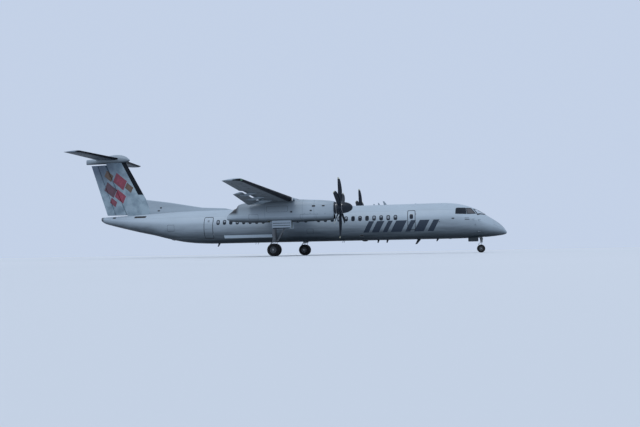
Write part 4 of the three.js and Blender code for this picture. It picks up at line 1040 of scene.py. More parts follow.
def arm_ring(y, side, squeeze):
    """Side outline of a flap arm's fairing, made flatter at its edges by squeeze."""
    at = wing_at(y)
    drop, depth, front, rear = -FLAP["drop"], ARM["depth"], ARM["front"], ARM["rear"]

    def belly(u):
        return lower_skin(u, at["thickness"])

    top = [(u, belly(u) - 0.004) for u in (front, 0.6, FLAP["lip"] - 0.02)]
    top += [(0.98, drop - 0.012), (rear, drop - 0.035)]
    low = [(rear, drop - 0.048), (0.98, drop - 0.068), (FLAP["front"], drop - depth)]
    low += [(0.74, belly(0.6) - depth), (0.6, belly(0.6) - 0.045), (front, belly(front) - 0.012)]
    above = top[::-1] + top[:1]
    low = [(u, mix(w, facing, squeeze * 0.6)) for (u, w), (_, facing) in zip(low, above)]
    return wing_ring(y, side, top + low, at)


def build_wing_controls():
    for name, side in SIDES.items():
        for where, (start, end) in FLAP_SPANS.items():
            flap, node = Shape(), f"flap_{where}_{name}"
            add_wing_lengths(flap, side, start, [(end, flap_outline, False, 6)])
            for y in FLAP_ARMS[where]:
                sections = [(y + share * ARM["half"], side, squeeze) for share, squeeze in ARM_SECTIONS]
                flap.loft([arm_ring(*section) for section in sections])
            piece(node + "_skin", flap, [WING], node)
        aileron, node = Shape(), f"aileron_{name}"
        add_wing_lengths(aileron, side, AILERON["from"], [(AILERON["to"], aileron_outline, False, 8)])
        piece(node + "_skin", aileron, [WING], node, node)


# Fairing over the wing's centre: station, top, half width
SADDLE_ROWS = [
    (12.5, 3.64, 0.32),
    (13.0, 3.79, 0.7),
    (13.6, 3.99, 0.98),
    (14.3, 4.15, 1.13),
    (15.2, 4.19, 1.19),
    (16.2, 4.14, 1.18),
    (17.0, 3.99, 1.09),
    (17.8, 3.82, 0.9),
    (18.7, 3.655, 0.48),
]
SADDLE_FOOT = 3.15
SADDLE_FORM = (0.3, 4.0, 2.8)


def build_saddle():
    at = smooth_rows(SADDLE_ROWS)
    stations = spread(SADDLE_ROWS[0][0], SADDLE_ROWS[-1][0], 50)
    rings = [body_ring(s, (SADDLE_FOOT, *at(s)), SADDLE_FORM, BODY_SIDES) for s in stations]
    piece("wing_saddle_skin", Shape().loft(rings), [TRIM], "wing_saddle")


# Fin and rudders. Hinge and tab are the rudders' axes, as shares of the chord.
FIN_ROOT = {"height": 3.3, "front": 26.78, "rear": 30.88}
FIN_TOP = {"height": 7.59, "front": 29.3, "rear": 32.42}
FIN = {"reach": 7.72, "thickness": 0.12, "hinge": 0.6, "tab": 0.83, "gap": 0.03}
FIN_BOOT = {"share": 0.095, "lowest": 4.95}
RUDDER = {"bottom": 3.44, "top": 7.53}


def fin_at(height):
    up = (height - FIN_ROOT["height"]) / (FIN_TOP["height"] - FIN_ROOT["height"])
    front = mix(FIN_ROOT["front"], FIN_TOP["front"], up)
    return front, mix(FIN_ROOT["rear"], FIN_TOP["rear"], up) - front


def fin_ring(height, outline):
    front, chord = fin_at(height)
    return [Vector((x_at(front + u * chord), w * chord, height)) for u, w in outline]


def fin_edge(height, axis):
    """Where the surface ahead of a rudder's axis ends, as a share of the chord."""
    return axis - half_thickness(axis, FIN["thickness"]) - FIN["gap"] / fin_at(height)[1]


def fin_outline(height):
    edge = fin_edge(height, FIN["hinge"])
    half = half_thickness(edge, FIN["thickness"])
    full = [p for p in aerofoil(FIN["thickness"], 0.0) if p[0] < edge - 0.012]
    return [(edge, half)] + full + [(edge, -half)]


# Tail artwork: middle (station, height), half width, half height and colour of each diamond
ART = [
    (29.75, 6.15, 0.62, 0.72, (0.19, 0.028, 0.05)),
    (30.62, 5.5, 0.58, 0.66, (0.085, 0.035, 0.05)),
    (30.75, 6.62, 0.42, 0.48, (0.1, 0.06, 0.04)),
    (29.72, 4.95, 0.52, 0.6, (0.22, 0.03, 0.055)),
    (28.95, 5.62, 0.36, 0.42, (0.09, 0.055, 0.035)),
    (30.35, 4.5, 0.34, 0.4, (0.16, 0.03, 0.05)),
]
ART_LEAN = 0.42


def fin_finish():
    """Pale mottled paint with leaning diamonds, darker towards the top and the rear."""
    made = Finish("fin_paint", (0.25, 0.33, 0.38), 0.36, coat=0.25)
    ahead, _, height = made.axes
    clouds = made.noise(1.6, 5.0)
    made.stain(clouds, 0.4, 0.65, 0.8, (0.11, 0.165, 0.21))
    flecks = made.ramp(made.noise(6.0, 4.0), [(0.4, 0.1), (0.6, 0.7)])
    aft = made.math("ADD", made.rise(ahead, x_at(30.0), x_at(31.6)), 0.45)
    made.tint((0.05, 0.08, 0.125), made.rise(height, 5.2, 7.2), aft, 0.75)
    for station, middle, half_wide, half_tall, color in ART:
        up = made.math("SUBTRACT", height, middle)
        along = made.math("ADD", made.math("SUBTRACT", ahead, x_at(station)), made.product(up, ART_LEAN))
        spans = ((along, half_wide), (up, half_tall))
        shares = [made.math("DIVIDE", made.math("ABSOLUTE", away), half) for away, half in spans]
        size = made.math("ADD", *shares)
        made.tint(color, made.math("LESS_THAN", size, 1.0))
        made.tint(shade(color, 1.6), made.math("LESS_THAN", size, 0.55), flecks)
    made.vary_roughness(clouds, 0.32, 0.44)
    made.bump(made.noise(3.0, 1.0), 0.002, 0.3)
    return made


FIN_PAINT = fin_finish()


def build_fin():
    heights = spread(FIN_ROOT["height"], FIN["reach"], 24)
    booted = boot_finish(fin_outline(5.0), FIN_BOOT["share"])

    def pick(ring, side):
        return booted(ring, side) if heights[ring] > FIN_BOOT["lowest"] else 0

    fin = Shape().loft([fin_ring(h, fin_outline(h)) for h in heights], pick)
    piece("fin_skin", fin, [FIN_PAINT, BOOT], "fin")
    span = spread(RUDDER["bottom"], RUDDER["top"], 16)
    rears = {"rudder_fore": lambda h: fin_edge(h, FIN["tab"]), "rudder_trailing": lambda h: 1.0}
    for (node, rear), axis in zip(rears.items(), (FIN["hinge"], FIN["tab"])):
        rings = [fin_ring(h, control_outline(axis, rear(h), FIN["thickness"])) for h in span]
        piece(node + "_skin", Shape().loft(rings), [FIN_PAINT], node, node)


# Dorsal fin: station, height and half thickness at its top
DORSAL_ROWS = [
    (20.3, 3.59, 0.02),
    (20.9, 3.74, 0.03),
    (22.8, 3.85, 0.038),
    (25.5, 4.33, 0.042),
    (28.0, 4.69, 0.046),
]
DORSAL_LENGTHS = list(zip(DORSAL_ROWS, DORSAL_ROWS[1:]))
DORSAL_FOOT = {"height": 3.35, "half": 0.165}
# Vents in the dorsal fin: station, height, width and height
DORSAL_VENTS = [(26.25, 3.93, 0.16, 0.1), (26.42, 3.7, 0.2, 0.08)]


def dorsal_profile(top, half):
    """One side of the dorsal fin's section, from its foot to where its round top starts."""
    foot = DORSAL_FOOT["height"]
    shoulder = mix(foot, top, 0.55)
    lower = [(DORSAL_FOOT["half"], foot), (half * 3.0, mix(foot, top, 0.25)), (half * 2.1, shoulder)]
    return lower + [(half * 1.35, mix(shoulder, top - half, 0.6)), (half, top - half)]


def dorsal_point(station, height, side, lift=0.0):
    """A point of the dorsal fin's flank at a station and a height."""
    first, last = [rows for rows in DORSAL_LENGTHS if rows[0][0] <= station <= rows[1][0]][0]
    share = (station - first[0]) / (last[0] - first[0])
    profile = dorsal_profile(mix(first[1], last[1], share), mix(first[2], last[2], share))
    y = profile[-1][0]
    for (y0, z0), (y1, z1) in zip(profile, profile[1:]):
        if z0 <= height <= z1:
            y = mix(y0, y1, (height - z0) / (z1 - z0))
    return Vector((x_at(station), (y + lift) * side, height))


def build_dorsal():
    rows = [[mix(a, b, k / 8) for a, b in zip(*pair)] for pair in DORSAL_LENGTHS for k in range(8)]
    rings = []
    for station, top, half in rows + DORSAL_ROWS[-1:]:
        profile = dorsal_profile(top, half)
        crown = [(half * math.cos(a), top - half + half * math.sin(a)) for a in spread(0, math.pi, 9)[1:-1]]
        outline = profile + crown + [(-y, z) for y, z in reversed(profile)]
        rings.append([Vector((x_at(station), y, z)) for y, z in outline])
    shape = Shape().loft(rings)
    # The vents are near-black patches, painted shade.
    for vent in DORSAL_VENTS:
        for side in SIDES.values():
            outline = rounded_box(*vent, 0.02, steps=3, along=3)
            add_patch(shape, outline, side, 0.004, 0.006, finish=1, rings=3, point=dorsal_point)
    piece("dorsal_fin_skin", shape, [TRIM, SOOT_AND_SHADE], "dorsal_fin")


# Tailplane and elevators
TAIL = {"height": 8.0, "tip": 4.56, "cap": 0.075, "root_front": 29.85, "tip_front": 30.43, "rear": 31.89}
TAIL_THICKNESS = 0.11
TAIL_BOOT_SHARE = 0.15
ELEVATOR = {"from": 0.3, "to": 4.54, "hinge": 31.25, "gap": 0.014}
# Where the elevators' bay starts and ends
TAIL_BAY = (ELEVATOR["from"] - 0.04, ELEVATOR["to"] + 0.012)


def tail_at(y):
    front = mix(TAIL["root_front"], TAIL["tip_front"], y / TAIL["tip"])
    return front, TAIL["rear"] - front


def tail_ring(y, side, outline, plan=None):
    front, chord = plan or tail_at(y)
    return [Vector((x_at(front + u * chord), side * y, TAIL["height"] + w * chord)) for u, w in outline]


def elevator_hinge(y):
    front, chord = tail_at(y)
    return (ELEVATOR["hinge"] - front) / chord


def elevator_bay(y):
    """The tailplane cut off ahead of the elevator."""
    hinge, count = elevator_hinge(y), 27
    edge = hinge - half_thickness(hinge, TAIL_THICKNESS) - ELEVATOR["gap"] / tail_at(y)[1]
    shares = [(1 - math.cos(math.pi / 2 * i / count)) * edge for i in range(count + 1)]
    upper = [(u, half_thickness(u, TAIL_THICKNESS)) for u in shares]
    return upper[::-1] + [(u, -half) for u, half in upper[1:]]


def build_tailplane():
    fixed = Shape()
    full = aerofoil(TAIL_THICKNESS, 0.0)
    full_boot = boot_finish(full, TAIL_BOOT_SHARE)
    front, chord = tail_at(TAIL["tip"])
    for side in SIDES.values():
        fixed.loft([tail_ring(y, side, full) for y in (0.0, TAIL_BAY[0])], full_boot)
        bays = [tail_ring(y, side, elevator_bay(y)) for y in spread(*TAIL_BAY, 12)]
        fixed.loft(bays, boot_finish(elevator_bay(1.0), TAIL_BOOT_SHARE))
        rings = [tail_ring(y, side, full) for y in (TAIL_BAY[1], TAIL["tip"])]
        for a in quarter(6):
            left = math.cos(a)
            plan = (front + chord * 0.25 * (1 - left), chord * (0.74 + 0.26 * left))
            outline = aerofoil(TAIL_THICKNESS * (0.25 + 0.75 * left), 0.0)
            rings.append(tail_ring(TAIL["tip"] + TAIL["cap"] * math.sin(a), side, outline, plan))
        fixed.loft(rings, full_boot)
    piece("tailplane_skin", fixed, [SHADED_TAILPLANE, BOOT], "tailplane")
    for name, side in SIDES.items():
        node, rings = f"elevator_{name}", []
        for y in spread(ELEVATOR["from"], ELEVATOR["to"], 10):
            rings.append(tail_ring(y, side, control_outline(elevator_hinge(y), 1.0, TAIL_THICKNESS)))
        piece(node + "_skin", Shape().loft(rings), [SHADED_TAILPLANE], node, node)


# Fairing at the crossing of fin and tailplane: station, bottom, top, half width
BULLET_ROWS = [
    (29.08, 7.77, 7.965, 0.095),
    (29.35, 7.665, 8.17, 0.215),
    (29.8, 7.625, 8.31, 0.285),
    (30.25, 7.618, 8.34, 0.29),
    (30.9, 7.625, 8.27, 0.26),
    (31.6, 7.64, 8.15, 0.2),
    (32.3, 7.64, 8.09, 0.13),
    (32.83, 7.645, 8.05, 0.06),
]
BULLET_TIP = {"station": 29.0, "height": 7.862}
BULLET_FORM = (0.5, 2.4, 2.0)


def build_bullet():
    at = smooth_rows(BULLET_ROWS)
    tip, start, end = BULLET_TIP["station"], BULLET_ROWS[0][0], BULLET_ROWS[-1][0]
    rings = []
    for station in [mix(tip, start, (k / 6) ** 2) for k in range(1, 6)] + spread(start, end, 50):
        section = at(station)
        if station < start:
            section = drawn_in(section, BULLET_TIP["height"], math.sqrt((station - tip) / (start - tip)))
        rings.append(body_ring(station, section, BULLET_FORM, 64))
    shape = Shape().loft(rings, first=Vector((x_at(tip), 0, BULLET_TIP["height"])))
    piece("tail_fairing_skin", shape, [SHADED_BULLET], "tail_fairing")


# Nacelle: station, bottom, top, half width
NACELLE_ROWS = [
    (11.45, 2.47, 3.64, 0.44),
    (11.7, 2.385, 3.69, 0.51),
    (12.2, 2.345, 3.745, 0.575),
    (13.0, 2.325, 3.8, 0.625),
    (14.2, 2.32, 3.86, 0.65),
    (15.8, 2.32, 3.865, 0.65),
    (17.0, 2.34, 3.8, 0.635),
    (17.9, 2.375, 3.69, 0.58),
    (18.2, 2.395, 3.6, 0.555),
    (18.33, 2.405, 3.4, 0.54),
    (18.6, 2.43, 3.2, 0.5),
    (18.85, 2.47, 3.03, 0.44),
    (19.03, 2.56, 2.86, 0.33),
]
NACELLE_FRONT, NACELLE_REAR = NACELLE_ROWS[0][0], NACELLE_ROWS[-1][0]
# Where the top starts to slope down to the exhaust
NACELLE_SLOPE = 18.2
NACELLE_FORM = (0.5, 2.5, 2.5)
nacelle_at = smooth_rows(NACELLE_ROWS)
ENGINE_Y = 4.4
HUB = {"station": 11.06, "height": 3.2}
BORE = {"radius": 0.385, "depth": 2.6}
INTAKE = {"half": 0.23, "bottom": 2.475, "top": 2.73, "depth": 0.62}
WHEEL_BAY = {"front": 14.35, "rear": 16.08, "half": 0.4, "roof": 3.0}
EXHAUST = {"station": 18.56, "height": 3.08, "radius": 0.25, "wall": 0.022, "depth": 0.7, "reach": 0.11}
EXHAUST_TILT = math.radians(38)
EXHAUST_AXIS = Vector((-math.cos(EXHAUST_TILT), 0, math.sin(EXHAUST_TILT)))


def intake_mouth(y, along, grow=0.0, drop=0.0):
    """Outline of the chin intake's mouth, as (y, z)."""
    height, tall = (INTAKE["bottom"] + INTAKE["top"]) / 2, INTAKE["top"] - INTAKE["bottom"]
    return rounded_box(y, height - drop, 2 * INTAKE["half"] + grow, tall - drop, 0.1, along=along)


def build_exhaust(name, start):
    radius, reach = EXHAUST["radius"], EXHAUST["depth"] + EXHAUST["reach"]
    outer, inner = radius - 0.001, radius - EXHAUST["wall"]
    profile = [(0.001, 0), (0.001, outer), (reach - 0.01, outer), (reach, outer - 0.008)]
    profile += [(reach, inner + 0.004), (reach - 0.02, inner), (0.06, inner), (0.06, 0)]
    pipe = Shape().turned(start, EXHAUST_AXIS, profile, sides=64)
    piece(f"exhaust_{name}_pipe", pipe, [HOT], f"exhaust_{name}")


def build_nacelles():
    stations = spread(NACELLE_FRONT, NACELLE_SLOPE, 56) + spread(NACELLE_SLOPE, NACELLE_REAR, 20)[1:]
    front = x_at(NACELLE_FRONT) + 0.05
    for name, side in SIDES.items():
        y = side * ENGINE_Y
        rings = [body_ring(s, nacelle_at(s), NACELLE_FORM, BODY_SIDES, y) for s in stations]
        bore = Shape().plug((front, y, HUB["height"]), -FORE, BORE["radius"], BORE["depth"], sides=64)
        mouth = intake_mouth(y, 4)
        ends = (front, x_at(NACELLE_FRONT) - INTAKE["depth"])
        intake = Shape().loft([[Vector((x, py, pz)) for py, pz in mouth] for x in ends])
        exhaust_at = Vector((x_at(EXHAUST["station"]), y, EXHAUST["height"]))
        exhaust_at -= EXHAUST_AXIS * EXHAUST["depth"]
        exhaust = Shape().plug(exhaust_at, EXHAUST_AXIS, EXHAUST["radius"], 1.6)
        # The bore's and intake's walls take the near-black lining as painted shade; the exhaust's is soot.
        cuts = [(bore, SOOT_AND_SHADE), (intake, SOOT_AND_SHADE), (bay_box(WHEEL_BAY, y, 2.0), BAY), (exhaust, SOOT_AND_SHADE)]
        shape, node = Shape().loft(rings), f"nacelle_{name}"
        piece(node + "_skin", shape, [NACELLE], node, degrees=30, cuts=cuts)
        build_exhaust(name, exhaust_at)


# Propeller blade: radius, chord, thickness, blade angle in degrees, sweep
BLADE_ROWS = [
    (0.2, 0.15, 0.15, 60, 0),
    (0.33, 0.165, 0.12, 60, 0),
    (0.5, 0.215, 0.08, 57, -0.008),
    (0.8, 0.3, 0.058, 50, -0.018),
    (1.15, 0.35, 0.044, 43, -0.018),
    (1.5, 0.345, 0.033, 37, 0.008),
    (1.78, 0.3, 0.025, 33, 0.045),
    (1.96, 0.225, 0.018, 31, 0.09),
    (2.055, 0.11, 0.011, 30, 0.14),
]
BLADE_COUNT = 6
# The radius where a blade's pale tip starts, and the radii between which it has a boot
BLADE_TIP_START, BLADE_BOOT = 1.9, (0.45, 1.5)
SPINNER = {"tip": 10.19, "rear": 11.4, "radius": 0.395, "straight": 0.28}


def blade_rings(count=36, sides=28):
    at = smooth_rows(BLADE_ROWS)
    rings = []
    for radius in spread(BLADE_ROWS[0][0], BLADE_ROWS[-1][0], count):
        chord, thickness, degrees, sweep = at(radius)
        c, s = math.cos(math.radians(degrees)), math.sin(math.radians(degrees))
        ring = []
        for turn in around(sides):
            along = chord / 2 * math.cos(turn) - sweep
            across = thickness / 2 * math.sin(turn) * (1 + 0.45 * math.cos(turn))
            ring.append(Vector((along * s + across * c, along * c - across * s, radius)))
        rings.append(ring)
    return rings


def blade_finish(rings):
    """Finish 1 on a blade's tip, 2 on its boot and 0 elsewhere."""

    def pick(ring, side):
        radius = rings[ring][0].z
        if radius > BLADE_TIP_START:
            return 1
        leading = side < 5 or side > 22
        return 2 if leading and BLADE_BOOT[0] < radius < BLADE_BOOT[1] else 0

    return pick


def build_spinner(name, rear):
    length, radius, straight = SPINNER["rear"] - SPINNER["tip"], SPINNER["radius"], SPINNER["straight"]
    profile = [(0, 0)]
    for t in spread(0, 1, 40)[:-1]:
        profile.append((t * length, radius * math.sqrt(1 - clamp((t - straight) / (1 - straight)) ** 2.2)))
    cone = Shape().turned(rear, FORE, profile + [(length, 0)], sides=72)
    for along, raised in ((0.13, radius + 0.004), (0.52, radius * 0.985 + 0.003)):
        ring = [(0, radius - 0.02), (0, raised), (0.012, raised), (0.012, radius - 0.02)]
        cone.turned(rear + FORE * along, FORE, ring, finish=1, sides=72)
    node, body = f"spinner_{name}", f"propeller_{name}"
    piece(node + "_shell", cone, [BLADE, BARE_METAL], node, body, degrees=40)


def build_propellers():
    rings = blade_rings()
    for name, side in SIDES.items():
        hub = Vector((x_at(HUB["station"]), side * ENGINE_Y, HUB["height"]))
        blades, node = Shape(), f"propeller_{name}"
        for angle in around(BLADE_COUNT):
            turn = Matrix.Rotation(angle, 3, "X")
            blades.loft([[hub + turn @ p for p in ring] for ring in rings], blade_finish(rings))
        blades.rod(hub - FORE * 0.17, hub + FORE * 0.17, 0.265, sides=48)
        blades.rod(hub - FORE * 0.64, hub, 0.11, sides=32)
        piece(node + "_blades", blades, [BLADE, TIP, BOOT], node, node, degrees=40)
        build_spinner(name, Vector((x_at(SPINNER["rear"]), hub.y, hub.z)))


# Wheels
MAIN_GEAR = {"station": 15.7, "radius": 0.436, "width": 0.27, "rim": 0.222, "wheel_y": 0.238, "axle": 0.052}
NOSE_GEAR = {"station": 1.75, "radius": 0.283, "width": 0.168, "rim": 0.14, "wheel_y": 0.178, "axle": 0.034}
NOSE_TRAIL = 0.04
CAD_WHEEL_SIDES = 26
# Middles of the grooves round a tread, as shares of the tyre's half width
GROOVES = (0.42, 0.14, -0.14, -0.42)
BOLTS = 9


def axle_height(gear):
    return gear["radius"] * math.cos(math.pi / CAD_WHEEL_SIDES)


def tyre_profile(gear):
    """Closed (along, radius) outline of a tyre's section with grooves round its tread."""
    out, rim, half = axle_height(gear), gear["rim"], gear["width"] / 2
    wall_foot, tread_half = mix(rim, out, 0.45), half * 0.62
    right = [(half * 0.7, rim), (half * 0.86, mix(rim, out, 0.14))]
    for a in spread(0, math.pi / 2, 17):
        y, r = half * 0.98 * math.cos(a) ** 0.55, mix(wall_foot, out, math.sin(a) ** 0.9)
        if y > tread_half:
            right.append((y, r))
    right.append((tread_half, out))
    tread = []
    floor, wide = out - (out - rim) * 0.035, half * 0.035
    for g in (groove * half for groove in GROOVES):
        tread += [(g + wide, out), (g + wide * 0.7, floor), (g - wide * 0.7, floor), (g - wide, out)]
    return right + tread + [(-y, r) for y, r in reversed(right)]


# A rim's section from the leg outwards, as shares of its half width and of its radius
RIM_BACK = [(-1, 0), (-1, 0.3), (-0.92, 0.9), (-1.02, 0.98), (-1.02, 1.07), (-0.92, 1.07), (-0.86, 1)]
RIM_FRONT = [(0.86, 1), (0.92, 1.07), (1.02, 1.07), (1.02, 0.97), (0.9, 0.88), (0.4, 0.74), (0.3, 0.68)]
RIM_HUB = [(0.42, 0.44), (0.72, 0.4), (0.8, 0.34), (0.84, 0)]
# Bolts and holes in a rim: their circle, where they start and end, radius, sides, turn and finish. A hole is
# a short dark rod, painted shade in place of an opening.
RIM_FITTINGS = [(0.56, 0.3, 0.5, 0.05, 6, 0, 1), (0.8, 0.5, 0.74, 0.055, 14, math.pi / BOLTS, 2)]


def build_wheels(gear, at, node, tyres, prefix):
    """A pair of wheels on their axle. Tyres are the CAD nodes with where each one is along the axle."""
    rims = Shape()
    half, rim = gear["width"] * 0.36, gear["rim"]
    for tyre_node, offset in tyres:
        middle, out = at + PORT * offset, PORT * math.copysign(half, offset)
        tyre = Shape().turned(middle, PORT, tyre_profile(gear), sides=96)
        piece(f"{tyre_node}_rubber", tyre, [TYRE], tyre_node, node, degrees=30)
        rims.turned(middle, out, [(a * half, r * rim) for a, r in RIM_BACK + RIM_FRONT + RIM_HUB], sides=64)
        for turn in around(BOLTS):
            for circle, start, end, radius, sides, ahead, finish in RIM_FITTINGS:
                spot = middle + (FORE * math.cos(turn + ahead) + UP * math.sin(turn + ahead)) * rim * circle
                rims.rod(spot + out * start, spot + out * end, rim * radius, finish, sides=sides)
        rims.rod(middle + out * 0.8, middle + out, rim * 0.2, 1, sides=24)
    rims.cross_rod(at, gear["wheel_y"], gear["axle"], 1, sides=32)
    piece(f"{prefix}_rims", rims, [ALLOY, BARE_METAL, SEAL_AND_SHADE], node, node, degrees=30)


# Gear legs
# Torque links: how far behind the leg their knee is, its height, and half the links' distance apart
MAIN_KNEE = {"back": 0.33, "height": 0.76, "wide": 0.062, "narrow": 0.0217}
NOSE_KNEE = {"back": 0.225, "height": 0.59, "wide": 0.034, "narrow": 0.014}
# Hoses down the legs: distance ahead, distance to the side, height
MAIN_LINE = [(0.1, 0.07, 2.6), (0.135, 0.075, 1.9), (0.15, 0.09, 1.2), (0.2, 0.1, 0.85)]
MAIN_LINE.append((0.07, 0.085, axle_height(MAIN_GEAR) + 0.1))
NOSE_LINE = [(0.06, 0.07, 1.5), (0.075, 0.08, 1.2), (0.08, 0.085, 1.02), (0.05, 0.09, 0.88)]
MAIN_LEG = {"cylinder": 0.118, "piston": 0.078, "collar": 1.01, "sleeve_half": 0.088}
# Bands round the main leg: height above the collar, how tall, and swell
LEG_BANDS = ((-0.02, 0.15, 1.22), (0.42, 0.06, 1.14), (0.95, 0.08, 1.16))
AXLE_GAP = 0.006


def add_axle_sleeve(shape, gear, foot, half, wall, ease, sides):
    """A tube round the axle with eased edges. The ease is along the tube and inwards."""
    bore = gear["axle"] + AXLE_GAP
    shape.tube(foot - PORT * half, PORT, bore, bore + wall, 2 * half, ease, sides)
    return bore


def add_links(shape, starts, x, y, knee, radius, sides):
    """A pair of rods from each start to the knee, closer together there. Gives the knee's middle."""
    bend = Vector((x - knee["back"], y, knee["height"]))
    for start in starts:
        for out in (-PORT, PORT):
            shape.rod(start + out * knee["wide"], bend + out * knee["narrow"], radius, sides=sides)
    return bend


def add_line(shape, x, y, line, radius):
    shape.hose([(x + ahead, y + across, z) for ahead, across, z in line], radius, 2)


def build_main_leg(name, foot):
    x, y, collar, piston = foot.x, foot.y, MAIN_LEG["collar"], MAIN_LEG["piston"]
    cylinder = MAIN_LEG["cylinder"]
    leg = Shape()
    bore = add_axle_sleeve(leg, MAIN_GEAR, foot, MAIN_LEG["sleeve_half"], 0.04, (0.012, 0.006), 40)
    leg.rod(foot + UP * (bore + 0.02), (x, y, collar - 0.04), piston, 1, sides=40)
    leg.rod(foot + UP * (bore + 0.005), foot + UP * (bore + 0.13), piston * 1.22, sides=40)
    leg.rod((x, y, collar), (x, y, WHEEL_BAY["roof"] - 0.001), cylinder, 0, cylinder * 1.12, sides=44)
    for height, tall, swell in LEG_BANDS:
        leg.rod((x, y, collar + height), (x, y, collar + height + tall), cylinder * swell, sides=44)
    starts = (foot + Vector((-0.04, 0, 0.05)), Vector((x - 0.06, y, collar + 0.06)))
    knee = add_links(leg, starts, x, y, MAIN_KNEE, 0.024, 14)
    for start in starts:
        leg.cross_rod(start.lerp(knee, 0.5), MAIN_KNEE["wide"] * 0.7, 0.014, sides=10)
    leg.cross_rod(knee, 0.07, 0.03, 1, sides=18)
    leg.rod((x + 0.04, y, collar + 0.06), (x + 0.165, y, collar + 0.06), 0.06, sides=28)
    for side in (-1, 1):
        add_line(leg, x, y, [(ahead, side * across, z) for ahead, across, z in MAIN_LINE], 0.011)
    node = f"main_leg_{name}"
    piece(node + "_parts", leg, [ENAMEL, CHROME, HOSE], node, degrees=40)


def build_main_brace(name, foot):
    low = Vector((foot.x + 0.235, foot.y, MAIN_LEG["collar"] + 0.06))
    top = Vector((x_at(WHEEL_BAY["front"]) - 0.12, foot.y, 2.72))
    middle = low.lerp(top, 0.52)
    brace = Shape()
    brace.cross_rod(low, 0.075, 0.062, sides=28)
    brace.rod(low, middle, 0.05, 0, 0.058, sides=24)
    brace.cross_rod(middle, 0.15, 0.056, sides=28)
    brace.cross_rod(middle, 0.165, 0.03, 1)
    for side in (-1, 1):
        brace.rod(middle + PORT * side * 0.105, top + PORT * side * 0.26, 0.046, sides=24)
    brace.cross_rod(middle.lerp(top, 0.45), 0.18, 0.026, sides=16)
    brace.cross_rod(top, 0.399, 0.06, 1, sides=28)
    jack_foot, jack_head = low.lerp(middle, 0.3) + Vector((0.07, 0, -0.02)), middle + Vector((0.06, 0, 0.1))
    brace.rod(jack_foot, jack_head, 0.026, 2, sides=16)
    node = f"main_brace_{name}"
    piece(node + "_parts", brace, [ENAMEL, BARE_METAL, HOSE], node, degrees=40)


def build_main_gear():
    for name, side in SIDES.items():
        foot = Vector((x_at(MAIN_GEAR["station"]), side * ENGINE_Y, axle_height(MAIN_GEAR)))
        offset = side * MAIN_GEAR["wheel_y"]
        tyres = [(f"main_tyre_outer_{name}", offset), (f"main_tyre_inner_{name}", -offset)]
        build_wheels(MAIN_GEAR, foot, f"main_wheels_{name}", tyres, f"main_{name}")
        build_main_leg(name, foot)
        build_main_brace(name, foot)


NOSE_LEG = {"cylinder": 0.088, "bore": 0.06, "piston": 0.052, "bottom": 0.8, "length": 0.8}
NOSE_PISTON_TOP = 1.18
NOSE_SLEEVE_HALF = 0.072
TAXI_LAMP = [(0, 0), (0.0, 0.035), (0.04, 0.07), (0.1, 0.078), (0.108, 0.07), (0.1, 0)]
TAXI_LENS = [(0, 0), (0, 0.066), (0.012, 0.05), (0.017, 0)]


def build_nose_leg(x):
    cylinder, bore, bottom, length = [NOSE_LEG[key] for key in ("cylinder", "bore", "bottom", "length")]
    leg = Shape()
    barrel = [(0, bore), (0, cylinder - 0.006), (0.008, cylinder), (length, cylinder), (length, bore)]
    leg.turned((x, 0, bottom), UP, barrel, sides=44)
    leg.tube((x, 0, bottom + 0.09), UP, cylinder - 0.01, 0.108, 0.14, (0.01, 0.004), 44)
    anchor = Vector((x_at(NOSE_BAY["rear"]) + 0.18, 0, 1.48))
    leg.cross_rod(anchor, 0.234, 0.042, 1, sides=24)
    for side in (-1, 1):
        leg.rod((x - 0.06, side * 0.05, bottom + 0.2), anchor + PORT * side * 0.14, 0.026, sides=18)
        start, end = (x - 0.01, side * 0.085, bottom + 0.32), (x + 0.06, side * 0.16, bottom + 0.36)
        leg.rod(start, end, 0.02, 1, sides=16)
        lamp = Vector((x + 0.12, side * 0.11, bottom + 0.46))
        leg.turned(lamp - FORE * 0.05, FORE, TAXI_LAMP, sides=32)
        leg.turned(lamp + FORE * 0.056, FORE, TAXI_LENS, finish=3, sides=32)
    add_line(leg, x, 0, NOSE_LINE, 0.009)
    finishes = [ENAMEL, BARE_METAL, HOSE, CLEAR_LENS]
    piece("nose_leg_parts", leg, finishes, "nose_leg", degrees=40)


def build_nose_fork(x, foot):
    bottom = NOSE_LEG["bottom"]
    fork = Shape()
    bore = add_axle_sleeve(fork, NOSE_GEAR, foot, NOSE_SLEEVE_HALF, 0.027, (0.008, 0.005), 36)
    fork.rod((x, 0, foot.z + 0.06), (x, 0, NOSE_PISTON_TOP), NOSE_LEG["piston"], 1, sides=36)
    fork.rod(foot + UP * (bore + 0.01), (x, 0, foot.z + 0.14), 0.046, 0, 0.056, sides=28)
    fork.rod((x, 0, bottom - 0.095), (x, 0, bottom - 0.012), 0.084, sides=40)
    starts = (Vector((x - 0.03, 0, foot.z + 0.09)), Vector((x - 0.04, 0, bottom - 0.055)))
    fork.cross_rod(add_links(fork, starts, x, 0, NOSE_KNEE, 0.013, 12), 0.035, 0.017, 1, sides=16)
    piece("nose_fork_parts", fork, [ENAMEL, CHROME], "nose_fork", "nose_fork", degrees=40)


def build_nose_gear():
    x = x_at(NOSE_GEAR["station"])
    foot = Vector((x - NOSE_TRAIL, 0, axle_height(NOSE_GEAR)))
    tyres = [(f"nose_tyre_{name}", side * NOSE_GEAR["wheel_y"]) for name, side in SIDES.items()]
    build_wheels(NOSE_GEAR, foot, "nose_wheels", tyres, "nose")
    build_nose_leg(x)
    build_nose_fork(x, foot)


